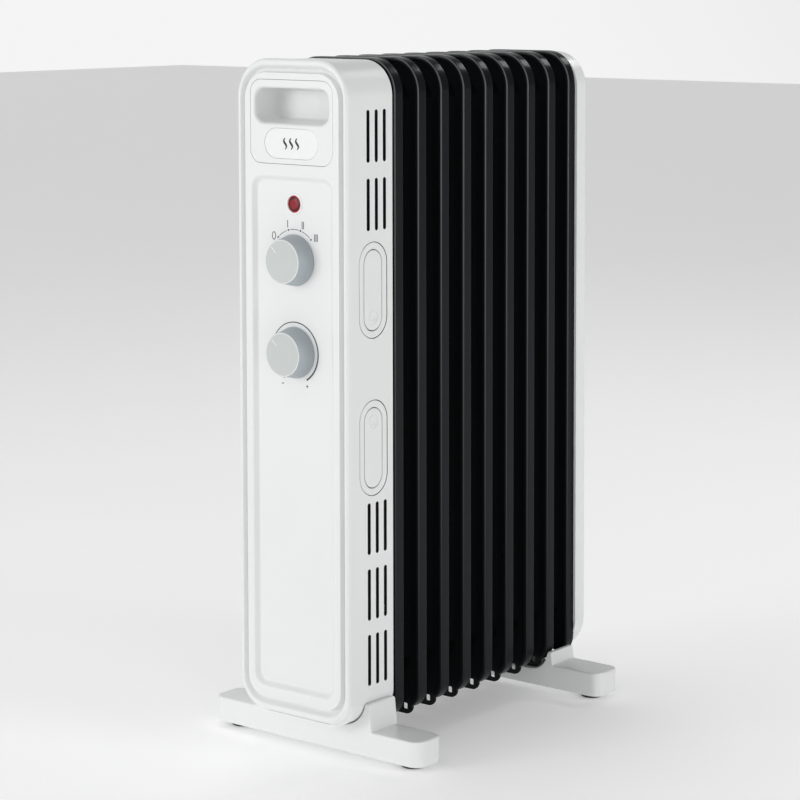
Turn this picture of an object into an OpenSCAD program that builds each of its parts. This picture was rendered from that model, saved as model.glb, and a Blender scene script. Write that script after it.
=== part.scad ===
// Oil filled radiator heater: nine finned oil sections behind a control housing,
// standing on two wide feet. Millimetres, +Z up, the control panel faces -Y, and
// the origin is the middle of the footprint on the floor.

/* [Overall] */
// Height from the floor to the top of the fins
overall_height = 622.5; // [590:0.5:760]
// Distance from one fin to the next
fin_pitch = 33; // [30:0.5:42]
// Length of each foot, across the heater
foot_span = 245; // [210:1:300]
// Width of the control housing
housing_width = 124; // [124:0.5:150]

/* [Control panel] */
// Thickness of the front panel
panel_thickness = 6.5; // [6:0.5:9]
// How far the panel stands out past the housing on each side
panel_overhang = 2; // [0.5:0.5:4]
// Height of the panel's lower edge above the floor
panel_bottom = 34.5; // [34:0.5:40]
// Radius of the panel's upper corners
panel_corner_top = 34; // [33:0.5:40]
// Radius of the panel's lower corners
panel_corner_bottom = 22; // [18:0.5:30]
// Width of the raised rim outside the groove
rim_width = 4; // [3:0.5:4.5]
// Width of the groove inside the rim
groove_width = 4.6; // [3:0.1:5]
// Depth of the groove
groove_depth = 3; // [1:0.5:3.5]
// Width of the sunk field that carries the controls
field_width = 96; // [80:1:100]
// Height of the sunk field's lower edge above the floor
field_bottom = 57; // [55:1:90]
// Distance from the top of the heater down to the sunk field
field_drop = 102.5; // [101:0.5:108]
// Depth of the sunk field
field_depth = 3.8; // [2:0.1:4]

/* [Handle] */
// Distance from the top of the heater down to the handle plate
handle_drop = 18.5; // [17:0.5:20]
// Height of the handle plate
handle_height = 74; // [72:0.5:80]
// Width of the handle plate
handle_width = 96; // [92:1:100]
// Thickness of the handle plate
handle_thickness = 2.7; // [2:0.1:3.2]
// Distance from the top of the heater down to the finger pocket
pocket_drop = 26.1; // [25:0.1:28]
// Height of the finger pocket
pocket_height = 30.4; // [26:0.1:32]
// Width of the finger pocket
pocket_width = 85; // [60:1:86]
// Depth of the finger pocket behind the panel's face
pocket_depth = 30.5; // [20:0.5:40]
// Width of the badge plate
badge_width = 62.4; // [40:0.1:76]
// Height of the badge plate
badge_height = 26.8; // [20:0.1:28]

/* [Controls] */
// Distance from the top of the heater down to the pilot lamp
lamp_drop = 127.6; // [120:0.1:130]
// Diameter of the pilot lamp's lens
lamp_diameter = 15.6; // [10:0.1:17]
// Distance from the top of the heater down to the heat knob
heat_drop = 177.2; // [172:0.1:185]
// Distance from the top of the heater down to the thermostat knob
thermostat_drop = 259.3; // [240:0.1:275]
// Diameter of the knobs at their base
knob_base_diameter = 45.8; // [36:0.1:56]
// Diameter of the knobs at their cap
knob_cap_diameter = 39.4; // [34:0.1:48]
// Height of the knobs
knob_height = 16.6; // [14:0.1:22]
// Diameter of the control shafts
shaft_diameter = 6; // [4:0.1:6.4]

/* [Housing] */
// Depth of the control housing, from the panel to its back wall
housing_depth = 58.4; // [56:0.1:80]
// Height of the housing's underside above the floor
housing_bottom = 31; // [31:0.5:33]
// Radius of the housing's upper corners
housing_corner_top = 31; // [28:0.5:34]
// Radius of the housing's lower corners
housing_corner_bottom = 27.5; // [24:0.5:30]
// Wall thickness of the plastic shells
shell_wall = 2.5; // [2:0.1:3]
// Length of a vent slot
vent_length = 46.3; // [20:0.1:50]
// Width of a vent slot
vent_width = 4.2; // [2:0.1:5]
// Distance between vent slots
vent_pitch = 11.1; // [8:0.1:12]

/* [Cord hooks] */
// Distance from the top of the heater down to the middle between both hooks
hook_mid_drop = 272.35; // [265:0.05:280]
// Distance between the end centres of a hook
hook_length = 47.4; // [30:0.1:50]
// Width of a hook
hook_width = 24; // [18:0.1:26]
// Width of the cup round a hook
cup_width = 37.8; // [37:0.1:40]
// Depth of a cup behind the housing's side
cup_depth = 24; // [22:0.5:26]

/* [Fins] */
// Width of the band round each fin
fin_depth = 12; // [9:0.5:14]
// Radius of the fins' upper corners
fin_corner_top = 31; // [26:0.5:36]
// Radius of the fins' lower corners
fin_corner_bottom = 20; // [16:0.5:24]
// Thickness of the fins' folded band
band_thickness = 1.2; // [0.8:0.1:2]
// Thickness of the oil channels
channel_depth = 8; // [6:0.5:9]
// Diameter of the collars that join the fins
collar_diameter = 36; // [36:0.5:40]
// Height of the lower collars above the floor
lower_header = 75; // [70:1:90]
// Distance from the top of the heater down to the upper collars
upper_header_drop = 37.5; // [36:0.5:60]

/* [Feet] */
// Depth of each foot, along the heater
foot_depth = 36.6; // [34:0.1:40]
// Height of the foot arms' upper side above the floor
foot_top = 27.8; // [26:0.1:30]
// Radius of the foot ends
foot_corner = 11; // [6:0.5:16]
// Height of the rubber pads
pad_height = 5; // [3:0.5:7]
// Distance between the pads, across the heater
pad_spread = 204; // [160:1:204]

/* [Rear cover] */
// Depth of the rear cover
rear_depth = 16.4; // [15:0.1:24]
// How far the rear cover stands out past the housing on each side
rear_overhang = 2.4; // [2:0.1:4]
// Radius of the rear cover's corners
rear_corner = 33.5; // [30:0.5:36]

/* [Hidden] */
$fn = 96;
fin_count = 9;
white = "#eeefee";
pale = "#e4e6e5";
grey = "#c3c7c6";
black = "#16181a";
steel = "#b4b8ba";

// Clearances
line_gap = 0.3;
turning_gap = 0.4;
hook_gap = 0.5;
running_gap = 0.05;

// Lengths from the panel's face towards the rear
housing_back = panel_thickness + housing_depth;
inner_back = housing_back - shell_wall;
shield_thickness = 1.2;
shield_back = housing_back + shield_thickness;
first_fin = shield_back + 2.3;
last_fin = first_fin + (fin_count - 1) * fin_pitch;
rear_front = last_fin + fin_depth + 0.2;
rear_back = rear_front + rear_depth;
rear_inner = rear_back - shell_wall;
rear_lip = 2.3;
knob_back = field_depth - turning_gap;
knob_front = knob_back - knob_height;
face_y = -(knob_front + rear_back) / 2;

// Widths and heights
top = overall_height;
housing_half = housing_width / 2;
inner_half = housing_half - shell_wall;
panel_half = housing_half + panel_overhang;
rear_half = housing_half + rear_overhang;
fin_half = housing_half - 0.5;
housing_top = top - 1.5;
rear_top = top - 1;
rear_bottom = housing_bottom - 1;
upper_header = top - upper_header_drop;

// Panel
plateau_inset = rim_width + groove_width;
lip_depth = 3;
lip_wall = 2;

// Handle
handle_top = top - handle_drop;
handle_bottom = handle_top - handle_height;
handle_corner = 12;
pocket_top = top - pocket_drop;
pocket_bottom = pocket_top - pocket_height;
pocket_corner = 10;
pocket_wall = 2.2;
badge_middle = handle_bottom + 18.1;
badge_thickness = 1.2;

// Controls
lamp_z = top - lamp_drop;
heat_z = top - heat_drop;
thermostat_z = top - thermostat_drop;
lamp_r = lamp_diameter / 2;
bezel_r = lamp_r + 1.1;
shaft_r = shaft_diameter / 2;
bushing_r = shaft_r + 1.75;
bushing_front = 1.5;
knob_wall = 2.5;
knob_hub_r = shaft_r + 3;
knob_hub_back = 0.6;
shaft_front = knob_front + 5;
shaft_back = 19.7;
shaft_bore_back = 20;
flat_depth = 0.6;
flat_back = 0;
switch_back = 30;
bezel_flange = 0.8;
bezel_flange_width = 0.6;
bezel_reach = 11.7;
bezel_end = 1.5;
lens_sink = 2.2;
lens_thickness = 3;
neon_r = 3;
neon_front = field_depth + 6.2;
neon_back = neon_front + 10;
neon_leg_x = 1.5;
neon_leg_r = 0.5;
neon_leg_back = neon_back + 4;
nut_thickness = 2.5;
nut_r = bushing_r + 3.2;
blade_x = 9;
blade_half = 3.1;
blade_length = 6;
blade_thickness = 0.8;
switch_half = 15;
switch_half_height = 16;
thermostat_half = 16;
thermostat_half_height = 18;

// Screws
screw_r = 1.75;
screw_head_r = 3.5;
screw_head = 2.2;
screw_boss_r = 4.2;
side_screw_x = housing_half - 10;
side_screw_heights = [130, top - 102.5];
panel_screw_x = housing_half - 11.5;
panel_screw_heights = [100, top - 74.5];
tab_front = 20;
tab_thickness = 3;

// Vents: lower groups rise from the floor, upper groups hang from the top
vent_heights = [90.4, 149.3, 208.4, top - 126.9, top - 66.9];
vent_middle = panel_thickness + 35.6;

// Cord hooks, measured up from the middle between both hooks
hook_r = hook_width / 2;
cup_r = cup_width / 2;
cup_rim_r = cup_r + 2.5;
cup_rim = 1.8;
cup_wall = 1.8;
hook_y = panel_thickness + 30.9;
hook_mid_z = top - hook_mid_drop;
hook_near = 46.25;
hook_far = hook_near + hook_length;
hook_thickness = 5;
hook_pivot = hook_near + 6;
hook_pin_r = 1.25;
hook_pin_x = housing_half - hook_thickness / 2;
hook_pin_half = cup_r - 3;
mark_r = 5.75;

// Fins
fin_bottom = 27;
web_bottom = 21;
web_half = 50;
web_corner = 10;
web_thickness = 1.6;
band_end = 52;
skin = 1.2;
channel_r = 14;
channel_x = 33;
collar_r = collar_diameter / 2;
collar_bore_r = collar_r - 2;
relief_x = 41;
relief_width = 5;
relief_bottom = 25;
relief_height = 6;
first_collar_front = housing_back - 6.9;
last_collar_back = last_fin + fin_depth + 5.6;
cap_thickness = 4;
cap_back = last_collar_back - 1;
plug_r = 5;
plug_hex_r = 8;
plug_head = 5;
plug_length = 7;
boss_back = last_collar_back;

// Heating elements
element_r = 4;
element_x = 6.5;
element_offset = 5;
element_front = first_collar_front - 12;
element_bend = last_fin - 25;
flange_thickness = 4;
flange_r = collar_r + 3;
window_r = flange_r + 1;
pin_r = 1.2;
low_pin_front = element_front - 7.2;
high_pin_front = element_front - 12.2;
wire_r = 1.2;
elbow_r = 1.4;

// Terminal block
block_half = 15;
block_depth = 10;
block_bottom = 300;
block_top = 314;
block_screw_pitch = 9;
block_screw_r = 2;

// Thermal cutout
cutout_x = 30;
cutout_z = 160;
cutout_r = 8;
cutout_depth = 6;
cutout_leg_x = 5;
cutout_leg_half = 2;
cutout_leg_thickness = 0.8;

// Leads
lead_y = 17;
lead_x = 6;
outer_lead_x = 12;
lead_rise = 12;
low_lead_drop = 20;
high_lead_drop = 30;
lamp_lead_drop = 6;

// Cord gland
gland_z = 262;
gland_bore_r = 3.75;
gland_body_r = 6;
gland_flange_r = 9;
gland_reach = 22;

// Feet
foot_half = foot_span / 2;
front_foot_y = panel_thickness + 17.9;
front_foot_middle = front_foot_y + foot_depth / 2;
rear_foot_y = last_fin - 33.4;
rear_foot_middle = rear_foot_y + foot_depth / 2;
front_shoulder = 52.5;
rear_shoulder = 40;
shoulder_wall = 4.5;
shoulder_flare = 2.5;
saddle_gap = 0.8;
foot_wall = 3;
foot_screw_x = 30;
foot_boss_r = 6;
foot_boss_top = housing_bottom + 15;
pad_r = 12;
pad_boss_r = 8;
pad_peg_r = 3;
pad_peg = 9.5;
pad_taper = 2;
clamp_r = 2.5;
clamp_x = collar_r + clamp_r;
clamp_y = last_fin + fin_depth / 2 - fin_pitch / 2;
clamp_bottom = pad_height + 2;
wing_hub_r = 5;
wing_hub_height = 6;
wing_reach = 10;
wing_drop = 8;
seat_wall = 6;

// ---- Places and shapes ----

// Puts lengths measured from the panel's face into the heater's own frame.
module from_face() {
    translate([0, face_y, 0]) children();
}

// Extrudes an outline drawn in X and Z from y0 to y1.
module extrude_y(y0, y1) {
    translate([0, y1, 0]) rotate([90, 0, 0]) linear_extrude(y1 - y0) children();
}

// Extrudes an outline drawn in Y and Z from x0 to x1.
module extrude_x(x0, x1) {
    translate([x0, 0, 0]) rotate([90, 0, 90]) linear_extrude(x1 - x0) children();
}

module rod_y(x, z, r, y0, y1) {
    translate([x, y0, z]) rotate([-90, 0, 0]) cylinder(r = r, h = y1 - y0);
}

module rod_x(y, z, r, x0, x1) {
    translate([x0, y, z]) rotate([0, 90, 0]) cylinder(r = r, h = x1 - x0);
}

module rod_z(x, y, r, z0, z1) {
    translate([x, y, z0]) cylinder(r = r, h = z1 - z0);
}

module hex_y(x, z, r, y0, y1) {
    translate([x, y0, z]) rotate([-90, 0, 0]) cylinder(r = r, h = y1 - y0, $fn = 6);
}

module block(x0, x1, y0, y1, z0, z1) {
    translate([x0, y0, z0]) cube([x1 - x0, y1 - y0, z1 - z0]);
}

// A round part turned about an axis along Y, from a profile of [radius, y] points.
module turned(x, z, profile) {
    translate([x, 0, z]) rotate([-90, 0, 0]) rotate_extrude() polygon(profile);
}

// Rectangle with round corners, symmetrical about X = 0.
module rounded(half, z0, z1, r_top, r_bottom) {
    translate([-half, z0 + r_bottom]) square([2 * half, z1 - z0 - r_top - r_bottom]);
    translate([r_top - half, z1 - r_top - 1]) square([2 * (half - r_top), r_top + 1]);
    translate([r_bottom - half, z0]) square([2 * (half - r_bottom), r_bottom + 1]);
    for (side = [-1, 1]) {
        translate([side * (half - r_top), z1 - r_top]) circle(r_top);
        translate([side * (half - r_bottom), z0 + r_bottom]) circle(r_bottom);
    }
}

// Slot with round ends that stands upright; z0 and z1 are the end centres.
module upright_slot(x, z0, z1, r) {
    translate([x - r, z0]) square([2 * r, z1 - z0]);
    translate([x, z0]) circle(r);
    translate([x, z1]) circle(r);
}

// Slot with round ends that lies flat; x0 and x1 are the end centres.
module flat_slot(x0, x1, z, r) {
    translate([x0, z - r]) square([x1 - x0, 2 * r]);
    translate([x0, z]) circle(r);
    translate([x1, z]) circle(r);
}

// Wire through a list of points, with a slightly thicker round elbow at each bend.
module wire(points) {
    for (i = [1:len(points) - 1]) {
        run = points[i] - points[i - 1];
        turn = atan2(run[1], run[0]);
        tilt = acos(run[2] / norm(run));
        translate(points[i - 1]) rotate([0, tilt, turn]) cylinder(r = wire_r, h = norm(run), $fn = 24);
    }
    for (i = [1:len(points) - 2]) {
        translate(points[i]) sphere(elbow_r, $fn = 24);
    }
}

// ---- Control panel ----

module panel_outline(inset) {
    r_top = panel_corner_top - inset;
    r_bottom = panel_corner_bottom - inset / 2;
    rounded(panel_half - inset, panel_bottom + inset, top - inset, r_top, r_bottom);
}

module housing_outline(inset) {
    r_top = housing_corner_top - inset;
    r_bottom = housing_corner_bottom - inset;
    rounded(housing_half - inset, housing_bottom + inset, housing_top - inset, r_top, r_bottom);
}

module at_panel_screws() {
    for (side = [-1, 1], z = panel_screw_heights) {
        translate([side * panel_screw_x, 0, z]) children();
    }
}

module at_side_screws() {
    for (side = [-1, 1], z = side_screw_heights) {
        translate([side * side_screw_x, 0, z]) children();
    }
}

module front_panel() {
    color(white) from_face() difference() {
        union() {
            extrude_y(0, panel_thickness) panel_outline(0);
            extrude_y(panel_thickness, panel_thickness + lip_depth) difference() {
                housing_outline(shell_wall + 0.2);
                housing_outline(shell_wall + 0.2 + lip_wall);
            }
            at_panel_screws() rod_y(0, 0, screw_boss_r, panel_thickness - 1, tab_front);
        }
        extrude_y(-1, groove_depth) difference() {
            panel_outline(rim_width);
            panel_outline(plateau_inset);
        }
        extrude_y(-1, field_depth) rounded(field_width / 2, field_bottom, top - field_drop, 12, 12);
        extrude_y(-1, handle_thickness) handle_outline(-line_gap);
        extrude_y(-1, panel_thickness + lip_depth + 1) pocket_outline(-pocket_wall - turning_gap);
        rod_y(0, lamp_z, bezel_r, 0, panel_thickness + 1);
        rod_y(0, heat_z, bushing_r, 0, panel_thickness + 1);
        rod_y(0, thermostat_z, bushing_r, 0, panel_thickness + 1);
        at_panel_screws() rod_y(0, 0, screw_r, tab_front - 10, tab_front + 1);
    }
}

module handle_outline(inset) {
    r = handle_corner - inset;
    rounded(handle_width / 2 - inset, handle_bottom + inset, handle_top - inset, r, r);
}

module pocket_outline(inset) {
    r = pocket_corner - inset;
    rounded(pocket_width / 2 - inset, pocket_bottom + inset, pocket_top - inset, r, r);
}

module badge_outline(inset) {
    reach = (badge_width - badge_height) / 2;
    flat_slot(-reach, reach, badge_middle, badge_height / 2 - inset);
}

module handle_plate() {
    color(white) from_face() difference() {
        union() {
            extrude_y(0, handle_thickness) handle_outline(0);
            extrude_y(handle_thickness, pocket_depth + pocket_wall) pocket_outline(-pocket_wall);
        }
        extrude_y(-1, pocket_depth) pocket_outline(0);
        extrude_y(-1, badge_thickness) badge_outline(-line_gap / 2);
    }
}

module badge_plate() {
    color(pale) from_face() extrude_y(0, badge_thickness) badge_outline(0);
}

module lamp_bezel() {
    bezel_front = field_depth - bezel_flange;
    bezel_back = field_depth + bezel_reach;
    color(pale) from_face() turned(0, lamp_z, [
        [lamp_r, bezel_front],
        [bezel_r + bezel_flange_width, bezel_front],
        [bezel_r + bezel_flange_width, field_depth],
        [bezel_r, field_depth],
        [bezel_r, bezel_back],
        [neon_r, bezel_back],
        [neon_r, bezel_back - bezel_end],
        [lamp_r, bezel_back - bezel_end]
    ]);
}

module lamp_lens() {
    lens_front = field_depth + lens_sink;
    color("#8c1c22") from_face() rod_y(0, lamp_z, lamp_r, lens_front, lens_front + lens_thickness);
}

module neon_lamp() {
    color("#e8a070") from_face() {
        rod_y(0, lamp_z, neon_r, neon_front, neon_back);
        for (side = [-1, 1]) {
            rod_y(side * neon_leg_x, lamp_z, neon_leg_r, neon_back, neon_leg_back);
        }
    }
}

// Round shaft with a flat at its front end, where the knob sits.
module shaft(z) {
    color(steel) from_face() difference() {
        rod_y(0, z, shaft_r, shaft_front, shaft_back);
        translate([0, 0, z]) shaft_flat();
    }
}

module shaft_flat() {
    block(-shaft_r, shaft_r, shaft_front - 1, flat_back, shaft_r - flat_depth, shaft_r + 1);
}

module knob(z) {
    base_r = knob_base_diameter / 2;
    cap_r = knob_cap_diameter / 2;
    inner_front = knob_front + knob_wall;
    color(grey) from_face() {
        turned(0, z, [
            [0, knob_front],
            [cap_r - 1, knob_front],
            [cap_r, knob_front + 1],
            [base_r, knob_back],
            [base_r - knob_wall, knob_back],
            [cap_r - knob_wall, inner_front],
            [0, inner_front]
        ]);
        difference() {
            rod_y(0, z, knob_hub_r, inner_front - 0.5, knob_hub_back);
            difference() {
                rod_y(0, z, shaft_r, shaft_front, knob_hub_back + 1);
                translate([0, 0, z]) shaft_flat();
            }
        }
    }
}

// Switch or thermostat: a body behind the panel, a bushing through it, blades at the back.
module control_body(z, half_width, half_height, shade) {
    color(shade) from_face() difference() {
        union() {
            rod_y(0, z, bushing_r, bushing_front, panel_thickness + 1);
            block(-half_width, half_width, panel_thickness, switch_back, z - half_height, z + half_height);
            for (x = [-blade_x, blade_x]) {
                block(x - blade_half, x + blade_half, switch_back - 1, switch_back + blade_length,
                    z - blade_thickness / 2, z + blade_thickness / 2);
            }
        }
        rod_y(0, z, shaft_r + running_gap, bushing_front - 1, shaft_bore_back);
    }
}

module heat_knob() {
    knob(heat_z);
}

module heat_shaft() {
    shaft(heat_z);
}

module heat_switch() {
    control_body(heat_z, switch_half, switch_half_height, "#3a3c3e");
}

module thermostat_knob() {
    knob(thermostat_z);
}

module thermostat_shaft() {
    shaft(thermostat_z);
}

module thermostat() {
    control_body(thermostat_z, thermostat_half, thermostat_half_height, "#b9a07a");
}

module control_nuts() {
    color(steel) from_face() for (z = [heat_z, thermostat_z]) {
        difference() {
            hex_y(0, z, nut_r, field_depth - nut_thickness, field_depth);
            rod_y(0, z, bushing_r, 0, field_depth + 1);
        }
    }
}

// ---- Control housing ----

module vent_slots() {
    for (z = vent_heights, step = [-1, 0, 1]) {
        reach = (vent_length - vent_width) / 2;
        upright_slot(vent_middle + step * vent_pitch, z - reach, z + reach, vent_width / 2);
    }
}

module control_housing() {
    color(white) from_face() difference() {
        union() {
            difference() {
                extrude_y(panel_thickness, housing_back) housing_outline(0);
                extrude_y(panel_thickness - 1, inner_back) housing_outline(shell_wall);
            }
            for (side = [-1, 1], z = panel_screw_heights) {
                translate([side * (inner_half - 7.5), tab_front + tab_thickness / 2, z])
                    cube([16, tab_thickness, 18], center = true);
            }
            for (side = [-1, 1]) {
                rod_z(side * foot_screw_x, front_foot_middle, foot_boss_r, housing_bottom + 1, foot_boss_top);
            }
        }
        extrude_x(-housing_half - 1, -inner_half + 1) vent_slots();
        extrude_x(inner_half - 1, housing_half + 1) vent_slots();
        translate([0, 0, hook_mid_z]) for (side = [-1, 1]) {
            extrude_x(inner_half - 0.5, housing_half + 1) {
                upright_slot(hook_y, min(side * hook_near, side * hook_far),
                    max(side * hook_near, side * hook_far), cup_r + line_gap);
            }
        }
        rod_y(0, lower_header, window_r, inner_back - 1, housing_back + 1);
        rod_x(hook_y, gland_z, gland_body_r, -housing_half - 1, -inner_half + 1);
        at_panel_screws() rod_y(0, 0, screw_r, tab_front - 1, tab_front + tab_thickness + 1);
        at_side_screws() rod_y(0, 0, screw_r, inner_back - 1, housing_back + 1);
        for (side = [-1, 1]) {
            rod_z(side * foot_screw_x, front_foot_middle, screw_r, housing_bottom - 1, foot_boss_top - 2);
        }
    }
}

module panel_screws() {
    color(steel) from_face() at_panel_screws() {
        rod_y(0, 0, screw_r, tab_front - 9.5, tab_front + tab_thickness);
        rod_y(0, 0, screw_head_r, tab_front + tab_thickness, tab_front + tab_thickness + screw_head);
    }
}

module housing_screws() {
    color(steel) from_face() at_side_screws() {
        rod_y(0, 0, screw_r, inner_back, shield_back + 5);
        rod_y(0, 0, screw_head_r, inner_back - screw_head, inner_back);
    }
}

module heat_shield() {
    color(steel) from_face() difference() {
        extrude_y(housing_back, shield_back) housing_outline(4);
        rod_y(0, lower_header, window_r, housing_back - 1, shield_back + 1);
        at_side_screws() rod_y(0, 0, screw_r, housing_back - 1, shield_back + 1);
    }
}

module terminal_block() {
    color("#d9d4c4") from_face() difference() {
        block(-block_half, block_half, inner_back - block_depth, inner_back, block_bottom, block_top);
        for (step = [-1, 0, 1]) {
            rod_y(step * block_screw_pitch, (block_bottom + block_top) / 2, block_screw_r,
                inner_back - block_depth - 1, inner_back - 4);
        }
    }
}

module thermal_cutout() {
    color("#2b2b2b") from_face() {
        rod_y(cutout_x, cutout_z, cutout_r, inner_back - cutout_depth, inner_back);
        for (x = [cutout_x - cutout_leg_x, cutout_x + cutout_leg_x]) {
            block(x - cutout_leg_half, x + cutout_leg_half, inner_back - 2 * cutout_depth, inner_back - cutout_depth,
                cutout_z - cutout_leg_thickness / 2, cutout_z + cutout_leg_thickness / 2);
        }
    }
}

// Wires between terminal block, thermostat, heat switch, lamp and elements.
module internal_leads() {
    block_y = inner_back - block_depth / 2;
    switch_y = switch_back - 6;
    neon_y = neon_leg_back + wire_r;
    low_y = low_pin_front + wire_r;
    high_y = high_pin_front + wire_r;
    low_turn = block_bottom - low_lead_drop;
    high_turn = block_bottom - high_lead_drop;
    color("#a8543c") from_face() for (side = [-1, 1]) {
        x = side * lead_x;
        outer_x = side * outer_lead_x;
        pin_x = side * element_x;
        neon_x = side * neon_leg_x;
        wire([
            [x, block_y, block_top],
            [x, block_y, block_top + lead_rise],
            [x, lead_y, block_top + lead_rise],
            [x, lead_y, thermostat_z - thermostat_half_height]
        ]);
        wire([
            [x, lead_y, thermostat_z + thermostat_half_height],
            [x, lead_y, heat_z - switch_half_height]
        ]);
        wire([
            [x, switch_y, heat_z + switch_half_height],
            [x, switch_y, lamp_z - lamp_lead_drop - 4],
            [neon_x, neon_y, lamp_z - lamp_lead_drop],
            [neon_x, neon_y, lamp_z + 1]
        ]);
        wire([
            [x, block_y, block_bottom],
            [x, block_y, low_turn],
            [x, low_y, low_turn],
            [pin_x, low_y, low_turn - low_lead_drop],
            [pin_x, low_y, low_z + pin_r]
        ]);
        wire([
            [outer_x, block_y, block_bottom],
            [outer_x, block_y, high_turn],
            [outer_x, high_y, high_turn],
            [pin_x, high_y, high_turn - high_lead_drop],
            [pin_x, high_y, high_z + pin_r]
        ]);
    }
}

// Gland for the mains cord, in the side wall opposite the hooks.
module cord_gland() {
    wall = -housing_half;
    color(black) from_face() difference() {
        union() {
            rod_x(hook_y, gland_z, gland_flange_r, wall - 2, wall);
            rod_x(hook_y, gland_z, gland_body_r, wall - gland_reach, -inner_half + 8);
            rod_x(hook_y, gland_z, gland_flange_r - 0.5, -inner_half, -inner_half + 4);
        }
        rod_x(hook_y, gland_z, gland_bore_r, wall - gland_reach - 1, -inner_half + 9);
    }
}

// ---- Cord hooks ----

// The upper hook stands as drawn; the lower one is its mirror image.
module at_hook(side) {
    translate([0, 0, hook_mid_z]) mirror([0, 0, side < 0 ? 1 : 0]) children();
}

module hook_cup(side) {
    back = housing_half - cup_depth;
    color(white) from_face() at_hook(side) difference() {
        union() {
            extrude_x(inner_half, housing_half) upright_slot(hook_y, hook_near, hook_far, cup_r);
            extrude_x(inner_half - cup_rim, inner_half) upright_slot(hook_y, hook_near, hook_far, cup_rim_r);
            extrude_x(back - cup_wall, inner_half - 1)
                upright_slot(hook_y, hook_near, hook_far, hook_r + hook_gap + cup_wall);
        }
        extrude_x(back, housing_half + 1) upright_slot(hook_y, hook_near, hook_far, hook_r + hook_gap);
        rod_y(hook_pin_x, hook_pivot, hook_pin_r, hook_y - hook_pin_half, hook_y + hook_pin_half);
    }
}

module hook(side) {
    color(white) from_face() at_hook(side) difference() {
        extrude_x(housing_half - hook_thickness, housing_half)
            upright_slot(hook_y, hook_near, hook_far, hook_r);
        rod_y(hook_pin_x, hook_pivot, hook_pin_r + running_gap, hook_y - hook_r - 1, hook_y + hook_r + 1);
        difference() {
            rod_x(hook_y, hook_near, mark_r, housing_half - 0.3, housing_half + 1);
            rod_x(hook_y, hook_near, mark_r - 0.9, housing_half - 1, housing_half + 2);
        }
    }
}

module hook_pin(side) {
    color(steel) from_face() at_hook(side)
        rod_y(hook_pin_x, hook_pivot, hook_pin_r, hook_y - hook_pin_half, hook_y + hook_pin_half);
}

// ---- Fins ----

module fin_outline(inset) {
    r_top = fin_corner_top - inset;
    r_bottom = fin_corner_bottom - inset;
    rounded(fin_half - inset, fin_bottom + inset, top - inset, r_top, r_bottom);
}

// Three upright oil channels joined by one across at each end.
module channels(inset) {
    r = channel_r - inset;
    for (x = [-channel_x, 0, channel_x]) {
        upright_slot(x, lower_header, upper_header, r);
    }
    for (z = [lower_header, upper_header]) {
        flat_slot(-channel_x, channel_x, z, r);
    }
}

module fin(index) {
    front = first_fin + index * fin_pitch;
    middle = front + fin_depth / 2;
    first = index == 0;
    last = index == fin_count - 1;
    lower_front = first ? first_collar_front : middle - fin_pitch / 2;
    upper_front = first ? middle - channel_depth / 2 - 1 : middle - fin_pitch / 2;
    upper_bore_front = first ? middle - 1 : upper_front - 1;
    back = last ? last_collar_back : middle + fin_pitch / 2;
    color(black) from_face() difference() {
        union() {
            extrude_y(front, front + fin_depth) difference() {
                fin_outline(0);
                fin_outline(band_thickness);
                translate([-band_end, 0]) square([2 * band_end, fin_bottom + fin_corner_bottom]);
            }
            extrude_y(middle - web_thickness / 2, middle + web_thickness / 2) {
                fin_outline(band_thickness / 2);
                rounded(web_half, web_bottom, lower_header, web_corner, web_corner);
            }
            extrude_y(middle - channel_depth / 2, middle + channel_depth / 2) channels(0);
            rod_y(0, lower_header, collar_r, lower_front, back);
            rod_y(0, upper_header, collar_r, upper_front, back);
            if (first) {
                at_side_screws() rod_y(0, 0, screw_boss_r, shield_back, middle);
            }
            if (last) {
                at_side_screws() rod_y(0, 0, screw_boss_r, middle, boss_back);
            }
        }
        extrude_y(middle - channel_depth / 2 + skin, middle + channel_depth / 2 - skin) channels(skin);
        rod_y(0, lower_header, collar_bore_r, lower_front - 1, back + 1);
        rod_y(0, upper_header, collar_bore_r, upper_bore_front, back + 1);
        for (side = [-1, 1]) {
            translate([side * relief_x - relief_width / 2, middle - web_thickness, relief_bottom])
                cube([relief_width, 2 * web_thickness, relief_height]);
        }
        if (first) {
            at_side_screws() rod_y(0, 0, screw_r, shield_back - 1, shield_back + 5.5);
        }
        if (last) {
            at_side_screws() rod_y(0, 0, screw_r, boss_back - 5.5, boss_back + 1);
        }
    }
}

// ---- Heating elements and oil fittings ----

low_z = lower_header + element_offset;
high_z = lower_header - element_offset;

// U-shaped tube heater that lies in the lower collars.
module heating_element(z, pin_front) {
    color("#8d8f86") from_face() {
        for (side = [-1, 1]) {
            rod_y(side * element_x, z, element_r, element_front, element_bend);
            rod_y(side * element_x, z, pin_r, pin_front, element_front);
        }
        translate([0, element_bend, z]) rotate_extrude(angle = 180) translate([element_x, 0]) circle(element_r);
    }
}

module element_flange() {
    color(steel) from_face() difference() {
        rod_y(0, lower_header, flange_r, first_collar_front - flange_thickness, first_collar_front);
        for (side = [-1, 1], z = [low_z, high_z]) {
            rod_y(side * element_x, z, element_r, first_collar_front - flange_thickness - 1, first_collar_front + 1);
        }
    }
}

module rear_header_caps() {
    color(black) from_face() difference() {
        for (z = [lower_header, upper_header]) {
            rod_y(0, z, collar_bore_r, cap_back - cap_thickness, cap_back);
        }
        rod_y(0, upper_header, plug_r, cap_back - cap_thickness - 1, cap_back + 1);
    }
}

module filler_plug() {
    color("#b08d57") from_face() {
        rod_y(0, upper_header, plug_r, cap_back - plug_length, cap_back);
        hex_y(0, upper_header, plug_hex_r, cap_back, cap_back + plug_head);
    }
}

// ---- Rear cover ----

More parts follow.
